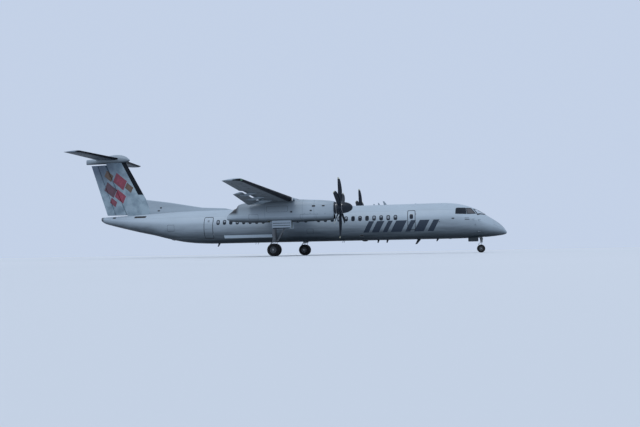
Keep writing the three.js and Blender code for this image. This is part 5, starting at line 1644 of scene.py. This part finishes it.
# Doors and hatches in the hull: side, station, height of the middle, width, height, corner radius
# and height of a small window, or none
HATCHES = [
    ("right", 6.535, 2.37, 0.56, 1.4, 0.1, 2.62),
    ("right", 21.78, 2.2, 0.74, 1.64, 0.12, None),
    ("left", 22.05, 2.3, 0.76, 1.62, 0.12, 2.83),
    ("left", 23.85, 2.3, 1.25, 1.2, 0.12, None),
    ("left", 6.535, 2.36, 0.56, 1.22, 0.1, None),
    ("right", 24.9, 2.25, 0.6, 0.5, 0.08, None),
    ("right", 13.9, 1.75, 0.5, 0.36, 0.06, None),
    ("left", 12.4, 1.7, 0.42, 0.34, 0.06, None),
]
# From what height a hatch counts as a door with a handle and hinges, and as one with a port as well
DOOR_HEIGHT, PORT_DOOR_HEIGHT = 1, 1.5
# Small plates on a door: width, height and corner radius
HANDLE, HINGE, DOOR_PORT = (0.14, 0.07, 0.02), (0.05, 0.16, 0.015), (0.16, 0.16, 0.04)


def door_plates(station, height, width, tall):
    """A door's handle, its hinges and, if it is tall enough, its port: the outline and lift of each."""
    plates = [(rounded_box(station + width * 0.26, height - 0.12, *HANDLE, steps=3, along=2), 0.003)]
    for up in (-1, 1):
        at = (station - width / 2 - 0.02, height + up * tall * 0.3)
        plates.append((rounded_box(*at, *HINGE, steps=2, along=2), 0.006))
    if tall > PORT_DOOR_HEIGHT:
        plates.append((rounded_box(station, height + 0.5, *DOOR_PORT, steps=3, along=2), 0.003))
    return plates


def build_hatches():
    seams = Shape()
    for name, station, height, width, tall, radius, window in HATCHES:
        side = SIDES[name]
        outline = rounded_box(station, height, width, tall, radius, along=12)
        add_band(seams, outline, side, 0.042 if tall > DOOR_HEIGHT else 0.014, 0.0025)
        if tall > DOOR_HEIGHT:
            for plate, lift in door_plates(station, height, width, tall):
                add_patch(seams, plate, side, lift, 0.004, finish=1, rings=2)
        if window:
            pane = rounded_box(station, window, WINDOW["width"], WINDOW["height"], WINDOW["radius"], along=2)
            add_band(seams, pane, side, 0.015, 0.004, finish=1)
            add_patch(seams, inset(pane, 0.013), side, 0.002, 0.004, finish=2, rings=3)
    piece("hatch_seams", seams, [SEAL_AND_SHADE, FRAME_METAL, PANE], degrees=50)


BLADE_THICKNESS = 0.014
JACK_PAD = {"radius": 0.085, "length": 0.13}


def add_blade(shape, station, height, chord, lean, up):
    """A blade antenna on the crown or, with up as -1, the belly."""
    foot = crown_point(station, 0, 1) if up > 0 else belly_point(station, 0, 1)
    rings = []
    for share in (-0.15, 0.2, 0.6, 0.92, 1.0):
        half = chord * mix(1.0, 0.5, max(0, share)) / 2
        thin = BLADE_THICKNESS / (4 if share == 1.0 else 2)
        middle = foot + Vector((-lean * max(0, share), 0, up * height * share))
        rings.append([middle + Vector((half * math.cos(a), thin * math.sin(a), 0)) for a in around(16)])
    shape.loft(rings, 0 if up > 0 else 4)


def add_jack_pad(shape, station, y, low, finish):
    """A jacking pad that stands out of an underside, down to a height."""
    foot = Vector((x_at(station), y, low))
    shape.rod(foot + UP * JACK_PAD["length"], foot, JACK_PAD["radius"], finish, sides=36)


def add_dome(shape, at, radius, tall, up=1, finish=0, stretch=1.0):
    """A dome that stands up or hangs down, with its foot sunk into the skin."""
    rings = []
    for a in [0.0] + quarter(8):
        reach = radius * max(math.cos(a), 0.02)
        height = up * (tall * math.sin(a) - (0.02 if a == 0 else 0))
        ring = [(reach * stretch * math.cos(t), reach * math.sin(t), height) for t in around(28)]
        rings.append([at + Vector(p) for p in ring])
    shape.loft(rings, finish)


# Flush vents and plates on the hull: sides, station, height, width, height and corner radius
HULL_VENTS = [
    ((1, -1), 27.75, 3.21, 1.05, 0.16, 0.03),
    ((-1,), 30.15, 3.22, 0.3, 0.12, 0.03),
    ((1, -1), 3.66, 2.42, 0.2, 0.09, 0.03),
    ((1, -1), 2.7, 2.31, 0.34, 0.05, 0.02),
    ((1, -1), 2.72, 2.42, 0.3, 0.035, 0.015),
    ((-1,), 10.15, 1.36, 0.3, 0.12, 0.03),
    ((1, -1), 4.6, 2.2, 0.07, 0.07, 0.03),
]
# Blade antennas: station, height, chord, lean, 1 on the crown or -1 on the belly
BLADES = [
    (8.5, 0.27, 0.22, 0.14, 1),
    (8.96, 0.16, 0.14, 0.06, 1),
    (9.32, 0.1, 0.12, 0.04, 1),
    (19.6, 0.26, 0.2, 0.1, 1),
    (4.78, 0.16, 0.16, 0.08, -1),
    (6.1, 0.34, 0.26, 0.24, -1),
    (8.4, 0.2, 0.16, 0.05, -1),
    (9.06, 0.2, 0.16, 0.05, -1),
    (21.4, 0.24, 0.18, 0.12, -1),
]
# Air data probes, one behind the other: station, height and how far each reaches ahead
PROBES = ((2.32, 2.33, 0.16), (1.93, 2.27, 0.14), (1.95, 1.5, 0.14))
VANE = (2.15, 1.95)
DRAIN_MASTS = (11.6, 18.3)
# The tail skid: its station, and how far ahead of that and above the belly its tube's points are
SKID_STATION = 25.2
SKID_PATH = ((0.35, 0.1), (0.1, -0.05), (-0.12, 0.0), (-0.3, 0.12))
STRIP_COUNT = 8


def add_domes(fittings):
    for station, across, side in ((6.3, 0.0, 1), (12.0, 0.25, 1), (12.0, 0.25, -1)):
        add_dome(fittings, crown_point(station, across, side), 0.07, 0.035)
    add_dome(fittings, belly_point(10.05, 0, 1), 0.12, 0.07, -1, finish=4, stretch=1.8)
    add_dome(fittings, crown_point(19.0, 0, 1, -0.01), 0.055, 0.1, finish=3)
    add_dome(fittings, belly_point(17.0, 0, 1, -0.01), 0.055, 0.1, -1, finish=3)


def add_probes(fittings, side):
    for station, height, reach in PROBES:
        foot, out = [side_point(station, height, side, lift) for lift in (-0.01, 0.075)]
        fittings.rod(foot, out, 0.022, 2, 0.014, sides=14)
        fittings.rod(out - FORE * 0.03, out + FORE * reach, 0.0125, 2, 0.008, sides=14)
    foot, out = [side_point(*VANE, side, lift) for lift in (0.0, 0.06)]
    fittings.rod(foot, out, 0.03, 2, 0.02, sides=16)
    fittings.rod(out, out + (out - foot) * 0.4 - FORE * 0.1, 0.008, 2, 0.004, sides=10)


def add_lightning_strips(fittings):
    """Strips that lead lightning off the radome."""
    for k in range(STRIP_COUNT):
        turn = 2 * math.pi * (k + 0.5) / STRIP_COUNT
        path = []
        for station in spread(0.16, 0.92, 7):
            path.append((x_at(station), *round_point(*fuselage_section(station), turn, *HULL_FORM)))
        fittings.hose(path, 0.005, 2, sides=6, steps=4)


def build_hull_fittings():
    fittings = Shape()
    # Each vent or plate is a near-black patch in a dark frame; in a vent the black is painted shade.
    for sides, *vent in HULL_VENTS:
        outline = rounded_box(*vent, steps=3, along=6)
        for side in sides:
            add_patch(fittings, outline, side, 0.002, 0.005, finish=1, rings=3)
            add_band(fittings, outline, side, 0.01, 0.004, finish=2)
    for blade in BLADES:
        add_blade(fittings, *blade)
    add_domes(fittings)
    for side in SIDES.values():
        add_probes(fittings, side)
        for station in DRAIN_MASTS:
            foot = belly_point(station, 0.3, side, -0.02)
            fittings.rod(foot, foot + Vector((-0.1, 0, -0.16)), 0.018, 2, 0.014, sides=12)
    skid = belly_point(SKID_STATION, 0, 1, -0.03)
    fittings.hose([skid + Vector((ahead, 0, up)) for ahead, up in SKID_PATH], 0.035, 2, sides=14)
    add_lightning_strips(fittings)
    add_jack_pad(fittings, 3.9, 0, 1.0, 2)
    piece("hull_fittings", fittings, [TRIM, SOOT_AND_SHADE, FRAME_METAL, RED_LENS, SEAL_AND_SHADE], degrees=40)


STAIR = {"count": 5, "rise": 0.255, "depth": 0.17, "tread": 0.034, "half": 0.27}
# The height where the cabin's wall starts to lean inwards, and by how much above and below it
WALL_LEAN = {"height": 2.25, "above": 0.34, "below": 0.12}

# A grab rail in the vestibule: distance off the wall, height
GRAB_RAIL = ((0.004, 1.9), (0.05, 1.95), (0.05, 2.6), (0.004, 2.65))


def door_length(margin, grow=0.0):
    """A length of fuselage at the airstair door, longer than the door by a margin at each end."""
    stations = spread(DOOR["front"] - margin, DOOR["rear"] + margin, 4)
    return Shape().loft([fuselage_ring(s, grow) for s in stations])


def add_stair(steps, number):
    middle = x_at((DOOR["front"] + DOOR["rear"]) / 2)
    half, tread = STAIR["half"], STAIR["tread"]
    height = DOOR["sill"] + STAIR["rise"] * (number + 0.75)
    above = height - WALL_LEAN["height"]
    lean = max(0.0, above) * WALL_LEAN["above"] + max(0.0, -above) * WALL_LEAN["below"]
    back = HULL_HALF_WIDTH - DOOR["thickness"] - lean
    near = back - STAIR["depth"]
    far = min(back + 0.06, half_width(fuselage_section, HULL_FORM, 5.4, height) - 0.05)
    left, right = middle - half, middle + half
    steps.box((left, near + 0.012, height), (right, far, height + tread - 0.004), 0)
    low, high = (left + 0.02, near + 0.03, height + tread - 0.005), (right - 0.02, far - 0.02, height + tread)
    steps.box(low, high, 1)
    steps.rod((left, near + 0.014, height + 0.016), (right, near + 0.014, height + 0.016), 0.014, 2, sides=14)
    for edge in (left + 0.012, right - 0.012):
        steps.box((edge - 0.008, near + 0.05, height - 0.06), (edge + 0.008, far, height + 0.01), 2)


def build_vestibule():
    room = Shape()
    front, rear, wall = x_at(DOOR["front"]), x_at(DOOR["rear"]), VESTIBULE_Y
    room.box((rear + 0.02, wall + 0.01, DOOR["sill"]), (front - 0.02, 1.0, DOOR["sill"] + 0.006), 0)
    for edge in (front - 0.05, rear + 0.05):
        room.hose([(edge, wall + y, z) for y, z in GRAB_RAIL], 0.014, 1, sides=12)
    middle, head = (front + rear) / 2, DOOR["head"]
    room.box((middle - 0.2, wall + 0.15, head - 0.02), (middle + 0.2, wall + 0.3, head - 0.001), 2)
    room.box((rear + 0.1, wall + 0.001, 1.56), (front - 0.1, wall + 0.012, 2.95), 3)
    finishes = [TREAD, BARE_METAL, CLEAR_LENS, CABIN]
    piece("vestibule_trim", room, finishes, degrees=40, bevel=0.003)


def build_airstair():
    low = (x_at(DOOR["rear"]) + DOOR_CLEARANCE, 0.9, DOOR["sill"] + DOOR_CLEARANCE)
    high = (x_at(DOOR["front"]) - DOOR_CLEARANCE, 1.6, DOOR["head"] - HEAD_CLEARANCE)
    cuts = [(Shape().box(low, high), CABIN, "INTERSECT"), (door_length(0.2, -DOOR["thickness"]), CABIN)]
    piece("airstair_leaf", door_length(0.1), [HULL, CABIN], "airstair_door", "airstair_door", cuts=cuts)
    steps = Shape()
    for number in range(STAIR["count"]):
        add_stair(steps, number)
    piece("airstair_steps", steps, [CABIN, TREAD, BARE_METAL], body="airstair_door", degrees=40)
    build_vestibule()


# Vents, hatches and latches on the nacelle's flanks: station, height, width, height and radius
NACELLE_VENTS = [
    (12.1, 3.33, 0.2, 0.1, 0.03),
    (12.76, 3.33, 0.24, 0.12, 0.03),
    (12.95, 3.03, 0.16, 0.1, 0.03),
    (14.3, 2.98, 0.16, 0.11, 0.03),
]
NACELLE_HATCHES = [
    (13.15, 2.62, 1.1, 0.34, 0.06),
    (15.3, 3.2, 1.5, 0.4, 0.08),
    (17.0, 2.7, 0.7, 0.36, 0.06),
]
NACELLE_LATCHES = [
    (12.0, 2.78, 0.09, 0.04, 0.01),
    (12.5, 2.78, 0.09, 0.04, 0.01),
    (13.0, 2.85, 0.09, 0.04, 0.01),
    (13.4, 2.85, 0.09, 0.04, 0.01),
]
# The bare lip round the engine's bore: distance ahead of the nacelle, radius
BORE_LIP = [(-0.02, 0.388), (0.02, 0.392), (0.034, 0.408), (0.034, 0.42), (0.02, 0.432), (-0.02, 0.436)]
NACELLE_DRAINS = ((13.9, 0.2), (14.05, 0.1), (17.6, 0.0))


def nacelle_section(station):
    return nacelle_at(clamp(station, NACELLE_FRONT, NACELLE_REAR))


def add_nacelle_marks(shape, flank, point):
    def outlines(marks):
        return [rounded_box(*mark, steps=3, along=6) for mark in marks]

    # The vents are near-black patches, painted shade.
    for outline in outlines(NACELLE_VENTS):
        add_patch(shape, outline, flank, 0.002, 0.005, rings=3, point=point)
        add_band(shape, outline, flank, 0.012, 0.006, finish=1, point=point)
    for outline in outlines(NACELLE_HATCHES):
        add_band(shape, outline, flank, 0.01, 0.002, point=point)
    for outline in outlines(NACELLE_LATCHES):
        add_patch(shape, outline, flank, 0.002, 0.005, finish=1, rings=3, point=point)


def build_nacelle_fittings():
    front = x_at(NACELLE_FRONT)
    for name, side in SIDES.items():
        y = side * ENGINE_Y
        marks = Shape()
        for flank in (-1, 1):
            add_nacelle_marks(marks, flank, side_points(nacelle_section, NACELLE_FORM, y))
        marks.turned((front, y, HUB["height"]), FORE, BORE_LIP, finish=1, sides=72)
        marks.ring_tube([(front + 0.002, py, pz) for py, pz in intake_mouth(y, 6, 0.012, 0.006)], 0.026, 2)
        for station, across in NACELLE_DRAINS:
            foot = Vector((x_at(station), y + across * side, 2.35))
            marks.rod(foot, foot + Vector((-0.07, 0, -0.12)), 0.014, 1, sides=12)
        add_jack_pad(marks, 17.2, y, 2.32, 1)
        piece(f"nacelle_{name}_fittings", marks, [SOOT_AND_SHADE, FRAME_METAL, BOOT], degrees=45)


# Gear doors: their edges, the offsets of their lower corners' points, and their upright ribs
MAIN_DOOR = {
    "front": 14.4,
    "rear": 15.74,
    "bottom": 1.85,
    "top": 2.62,
    "thickness": 0.034,
    "frame": 0.012,
    "rear_corner": ((0, 0.12), (0.03, 0.05), (0.11, 0)),
    "front_corner": ((0.07, 0), (0.02, 0.03), (0, 0.09)),
    "ribs": 5,
    "rib_margin": 0.12,
    "rib_half": 0.012,
    "rib_depth": 0.014,
    "rib_foot": 0.06,
}
NOSE_DOOR = {
    "front": 1.96,
    "rear": 2.66,
    "bottom": 0.79,
    "top": 1.33,
    "thickness": 0.026,
    "frame": 0.008,
    "rear_corner": ((0, 0.05), (0.015, 0.015), (0.05, 0)),
    "front_corner": ((0.05, 0), (0.015, 0.015), (0, 0.05)),
    "ribs": 4,
    "rib_margin": 0.08,
    "rib_half": 0.008,
    "rib_depth": 0.009,
    "rib_foot": 0.04,
}
# How far a door's outer face stands off its bay's side
DOOR_GAP = 0.0003
# Dark bands across a main door, painted shade of the gaps between its panels: height above its lower edge,
# how tall
DOOR_SHADE_BANDS = ((0.05, 0.07), (0.23, 0.035), (0.39, 0.035))


def door_edges(door):
    return x_at(door["front"]), x_at(door["rear"]), door["bottom"], door["top"]


def add_leaf(shape, outline, outer, inner):
    """A flat leaf from y = outer to y = inner, with eased edges, from an outline of (x, z)."""
    ease = math.copysign(0.006, outer - inner)
    small = inset(outline, 0.006)
    levels = ((small, outer), (outline, outer - ease), (outline, inner + ease), (small, inner))
    shape.loft([[Vector((x, y, z)) for x, z in loop] for loop, y in levels])


def gear_door(door, outer, edge):
    """A leaf with upright ribs on its inner face. The edge is the side that its outer face looks to."""
    front, rear, low, high = door_edges(door)
    inner = outer - edge * door["thickness"]
    outline = [(rear, high)] + [(rear + x, low + z) for x, z in door["rear_corner"]]
    outline += [(front - x, low + z) for x, z in door["front_corner"]] + [(front, high)]
    shape = Shape()
    add_leaf(shape, outline, outer, inner + edge * door["frame"])
    half, rib = door["rib_half"], inner + edge * door["rib_depth"]
    for x in spread(rear + door["rib_margin"], front - door["rib_margin"], door["ribs"]):
        shape.box((x - half, inner, low + door["rib_foot"]), (x + half, rib, high - 0.02), 1)
    return shape


def build_main_door(node, outer, edge):
    shape = gear_door(MAIN_DOOR, outer, edge)
    front, rear, low, high = door_edges(MAIN_DOOR)
    inner = outer - edge * MAIN_DOOR["thickness"]
    rib = inner + edge * MAIN_DOOR["rib_depth"]
    for z in (low + 0.09, high - 0.2):
        shape.box((rear + 0.1, inner, z - 0.012), (front - 0.1, rib, z + 0.012), 1)
    for x in (rear + 0.25, front - 0.25):
        foot, head = (x, inner - edge * 0.004, high - 0.06), (x, inner - edge * 0.1, high + 0.16)
        shape.rod(foot, head, 0.018, 1, sides=12)
    # Painted shade: near-black strips on the outer face for the gaps between the door's panels.
    for height, tall in DOOR_SHADE_BANDS:
        z, skin = low + height, edge * 0.002
        shape.box((rear + 0.06, outer - skin, z - tall / 2), (front - 0.06, outer + skin, z + tall / 2), 2)
    piece(node + "_leaf", shape, [LIT_GEAR_DOOR, BAY, SEAL_AND_SHADE], node, degrees=40)


def build_gear_doors():
    for name, side in SIDES.items():
        for where, edge in (("outer", side), ("inner", -side)):
            outer = side * ENGINE_Y + edge * (WHEEL_BAY["half"] - DOOR_GAP)
            build_main_door(f"main_door_{where}_{name}", outer, edge)
        door = gear_door(NOSE_DOOR, side * (NOSE_BAY["half"] - DOOR_GAP), side)
        piece(f"nose_door_{name}_leaf", door, [SHADED_BELLY_DOOR, BAY], f"nose_door_{name}", degrees=40)


# Hatches under the wing and the landing lamps, by distance from the centre plane
WING_HATCHES = (5.9, 6.8, 7.7, 8.6, 9.5, 10.4, 11.3, 12.2, 13.1)
LANDING_LAMP = {"y": 5.25, "radius": 0.12, "back": 0.012}
TAIL_LAMP = {"station": 32.83, "height": 7.825, "radius": 0.03, "ahead": 0.02}


def wing_under(station, y, side, lift=0.0):
    """A point of the wing's lower skin at a station and a distance from the centre plane."""
    at = wing_at(y)
    u = clamp((at["front"] - x_at(station)) / at["chord"], 0.02, 0.98)
    height = at["height"] + lower_skin(u, at["thickness"]) * at["chord"]
    return Vector((x_at(station), y * side, height - lift))


def add_lamp(shape, at, radius, finish, forward=1):
    """A lamp with a rounded lens that looks ahead or, with forward as -1, astern."""
    lens = [(0.02 * math.sin(a), radius * math.cos(a)) for a in quarter(6)[:-1]]
    profile = [(-0.02, 0), (-0.02, radius), (0.0, radius)] + lens + [(0.02, 0)]
    shape.turned(at, FORE * forward, profile, finish, sides=28)


def add_tip_fittings(shape, side):
    """The light ahead of a wing tip and the static wicks behind it."""
    tip = wing_at(WING_TIP["y"])
    nose = Vector((tip["front"] - 0.1, side * (WING_TIP["y"] + 0.1), tip["height"]))
    for up in (1, -1):
        add_dome(shape, nose, 0.05, 0.035, up, finish=2 if side > 0 else 3, stretch=1.8)
    for ahead in (0.0, 0.12):
        y = WING_TIP["y"] + 0.03 + ahead * 0.3
        foot = Vector((tip["front"] - tip["chord"] * 0.98 + ahead, side * y, tip["height"]))
        shape.rod(foot, foot + Vector((-0.12, side * 0.01, 0)), 0.004, 1, 0.002, sides=8)


def build_wing_fittings():
    fittings = Shape()
    for side in SIDES.values():
        for y in WING_HATCHES:
            at = wing_at(y)
            station = NOSE_X - at["front"] + at["chord"] * 0.4
            width = 0.3 * at["chord"] / WING_PLAN["chord"] + 0.08
            outline = rounded_box(station, y, width, 0.2, 0.08, steps=4, along=3)
            add_band(fittings, outline, side, 0.01, 0.003, point=wing_under)
        add_tip_fittings(fittings, side)
        at, back = wing_at(LANDING_LAMP["y"]), LANDING_LAMP["back"]
        lamp = Vector((at["front"] - back, side * LANDING_LAMP["y"], at["height"] - back))
        add_lamp(fittings, lamp, LANDING_LAMP["radius"], 4)
    tail = Vector((x_at(TAIL_LAMP["station"]) + TAIL_LAMP["ahead"], 0, TAIL_LAMP["height"]))
    add_lamp(fittings, tail, TAIL_LAMP["radius"], 4, -1)
    finishes = [SEAL_AND_SHADE, BARE_METAL, RED_LENS, GREEN_LENS, CLEAR_LENS]
    piece("wing_fittings", fittings, finishes, degrees=45)


def finish_engines():
    for name in SIDES:
        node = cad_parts[f"engine_{name}"]
        node.data.materials.clear()
        node.data.materials.append(HOT.material)


FLOOR_HALF = 900.0


def build_floor():
    floor = bpy.data.meshes.new("floor")
    corners = [(x * FLOOR_HALF, y * FLOOR_HALF, 0) for x, y in ((-1, -1), (1, -1), (1, 1), (-1, 1))]
    floor.from_pydata(corners, [], [[0, 1, 2, 3]])
    ground = bpy.data.objects.new("floor", floor)
    bpy.context.scene.collection.objects.link(ground)
    finish = Finish("pale_floor", (0.62, 0.65, 0.68), 0.8)
    finish.stain(finish.noise(0.05, 3.0), 0.3, 0.7, 0.4, (0.56, 0.6, 0.63))
    floor.materials.append(finish.material)


def build_light():
    world = bpy.data.worlds.new("studio")
    bpy.context.scene.world = world
    world.use_nodes = True
    background = world.node_tree.nodes["Background"]
    background.inputs["Color"].default_value = (0.55, 0.64, 0.8, 1)
    background.inputs["Strength"].default_value = 1.0
    bpy.context.scene.view_settings.view_transform = "Standard"
    sun = bpy.data.lights.new("soft_sun", "SUN")
    sun.energy = 1.3
    sun.angle = math.radians(35)
    lamp = bpy.data.objects.new("soft_sun", sun)
    lamp.rotation_euler = (math.radians(28), math.radians(-12), 0)
    bpy.context.scene.collection.objects.link(lamp)


# The photograph's view, from the starboard side and ahead of abeam, with the camera at floor level.
# Angles are in degrees and the lens in millimetres on a 36 mm wide sensor.
CAMERA = {"distance": 50.0, "azimuth": 15.8, "height": 0.2, "lens": 37.1}
AIM = {"turn": 12.45, "pitch": 3.38, "roll": -1.0}


def build_camera():
    camera = bpy.data.cameras.new("camera")
    camera.sensor_width = 36.0
    camera.lens = CAMERA["lens"]
    camera.clip_end = 3000
    lens = bpy.data.objects.new("camera", camera)
    azimuth, distance = math.radians(CAMERA["azimuth"]), CAMERA["distance"]
    lens.location = (distance * math.sin(azimuth), -distance * math.cos(azimuth), CAMERA["height"])
    turn = Matrix.Rotation(math.radians(AIM["turn"]), 4, "Z")
    tilt = Matrix.Rotation(math.radians(90 + AIM["pitch"]), 4, "X")
    roll = Matrix.Rotation(math.radians(AIM["roll"]), 4, "Z")
    lens.rotation_euler = (turn @ tilt @ roll).to_euler()
    bpy.context.scene.collection.objects.link(lens)
    bpy.context.scene.camera = lens


build_camera()
build_floor()
build_light()
build_fuselage()
build_cockpit_windows()
build_cabin_windows()
build_wing()
build_wing_controls()
build_saddle()
build_fin()
build_dorsal()
build_tailplane()
build_bullet()
build_nacelles()
build_propellers()
build_main_gear()
build_nose_gear()
build_hatches()
build_hull_fittings()
build_airstair()
build_nacelle_fittings()
build_gear_doors()
build_wing_fittings()
finish_engines()
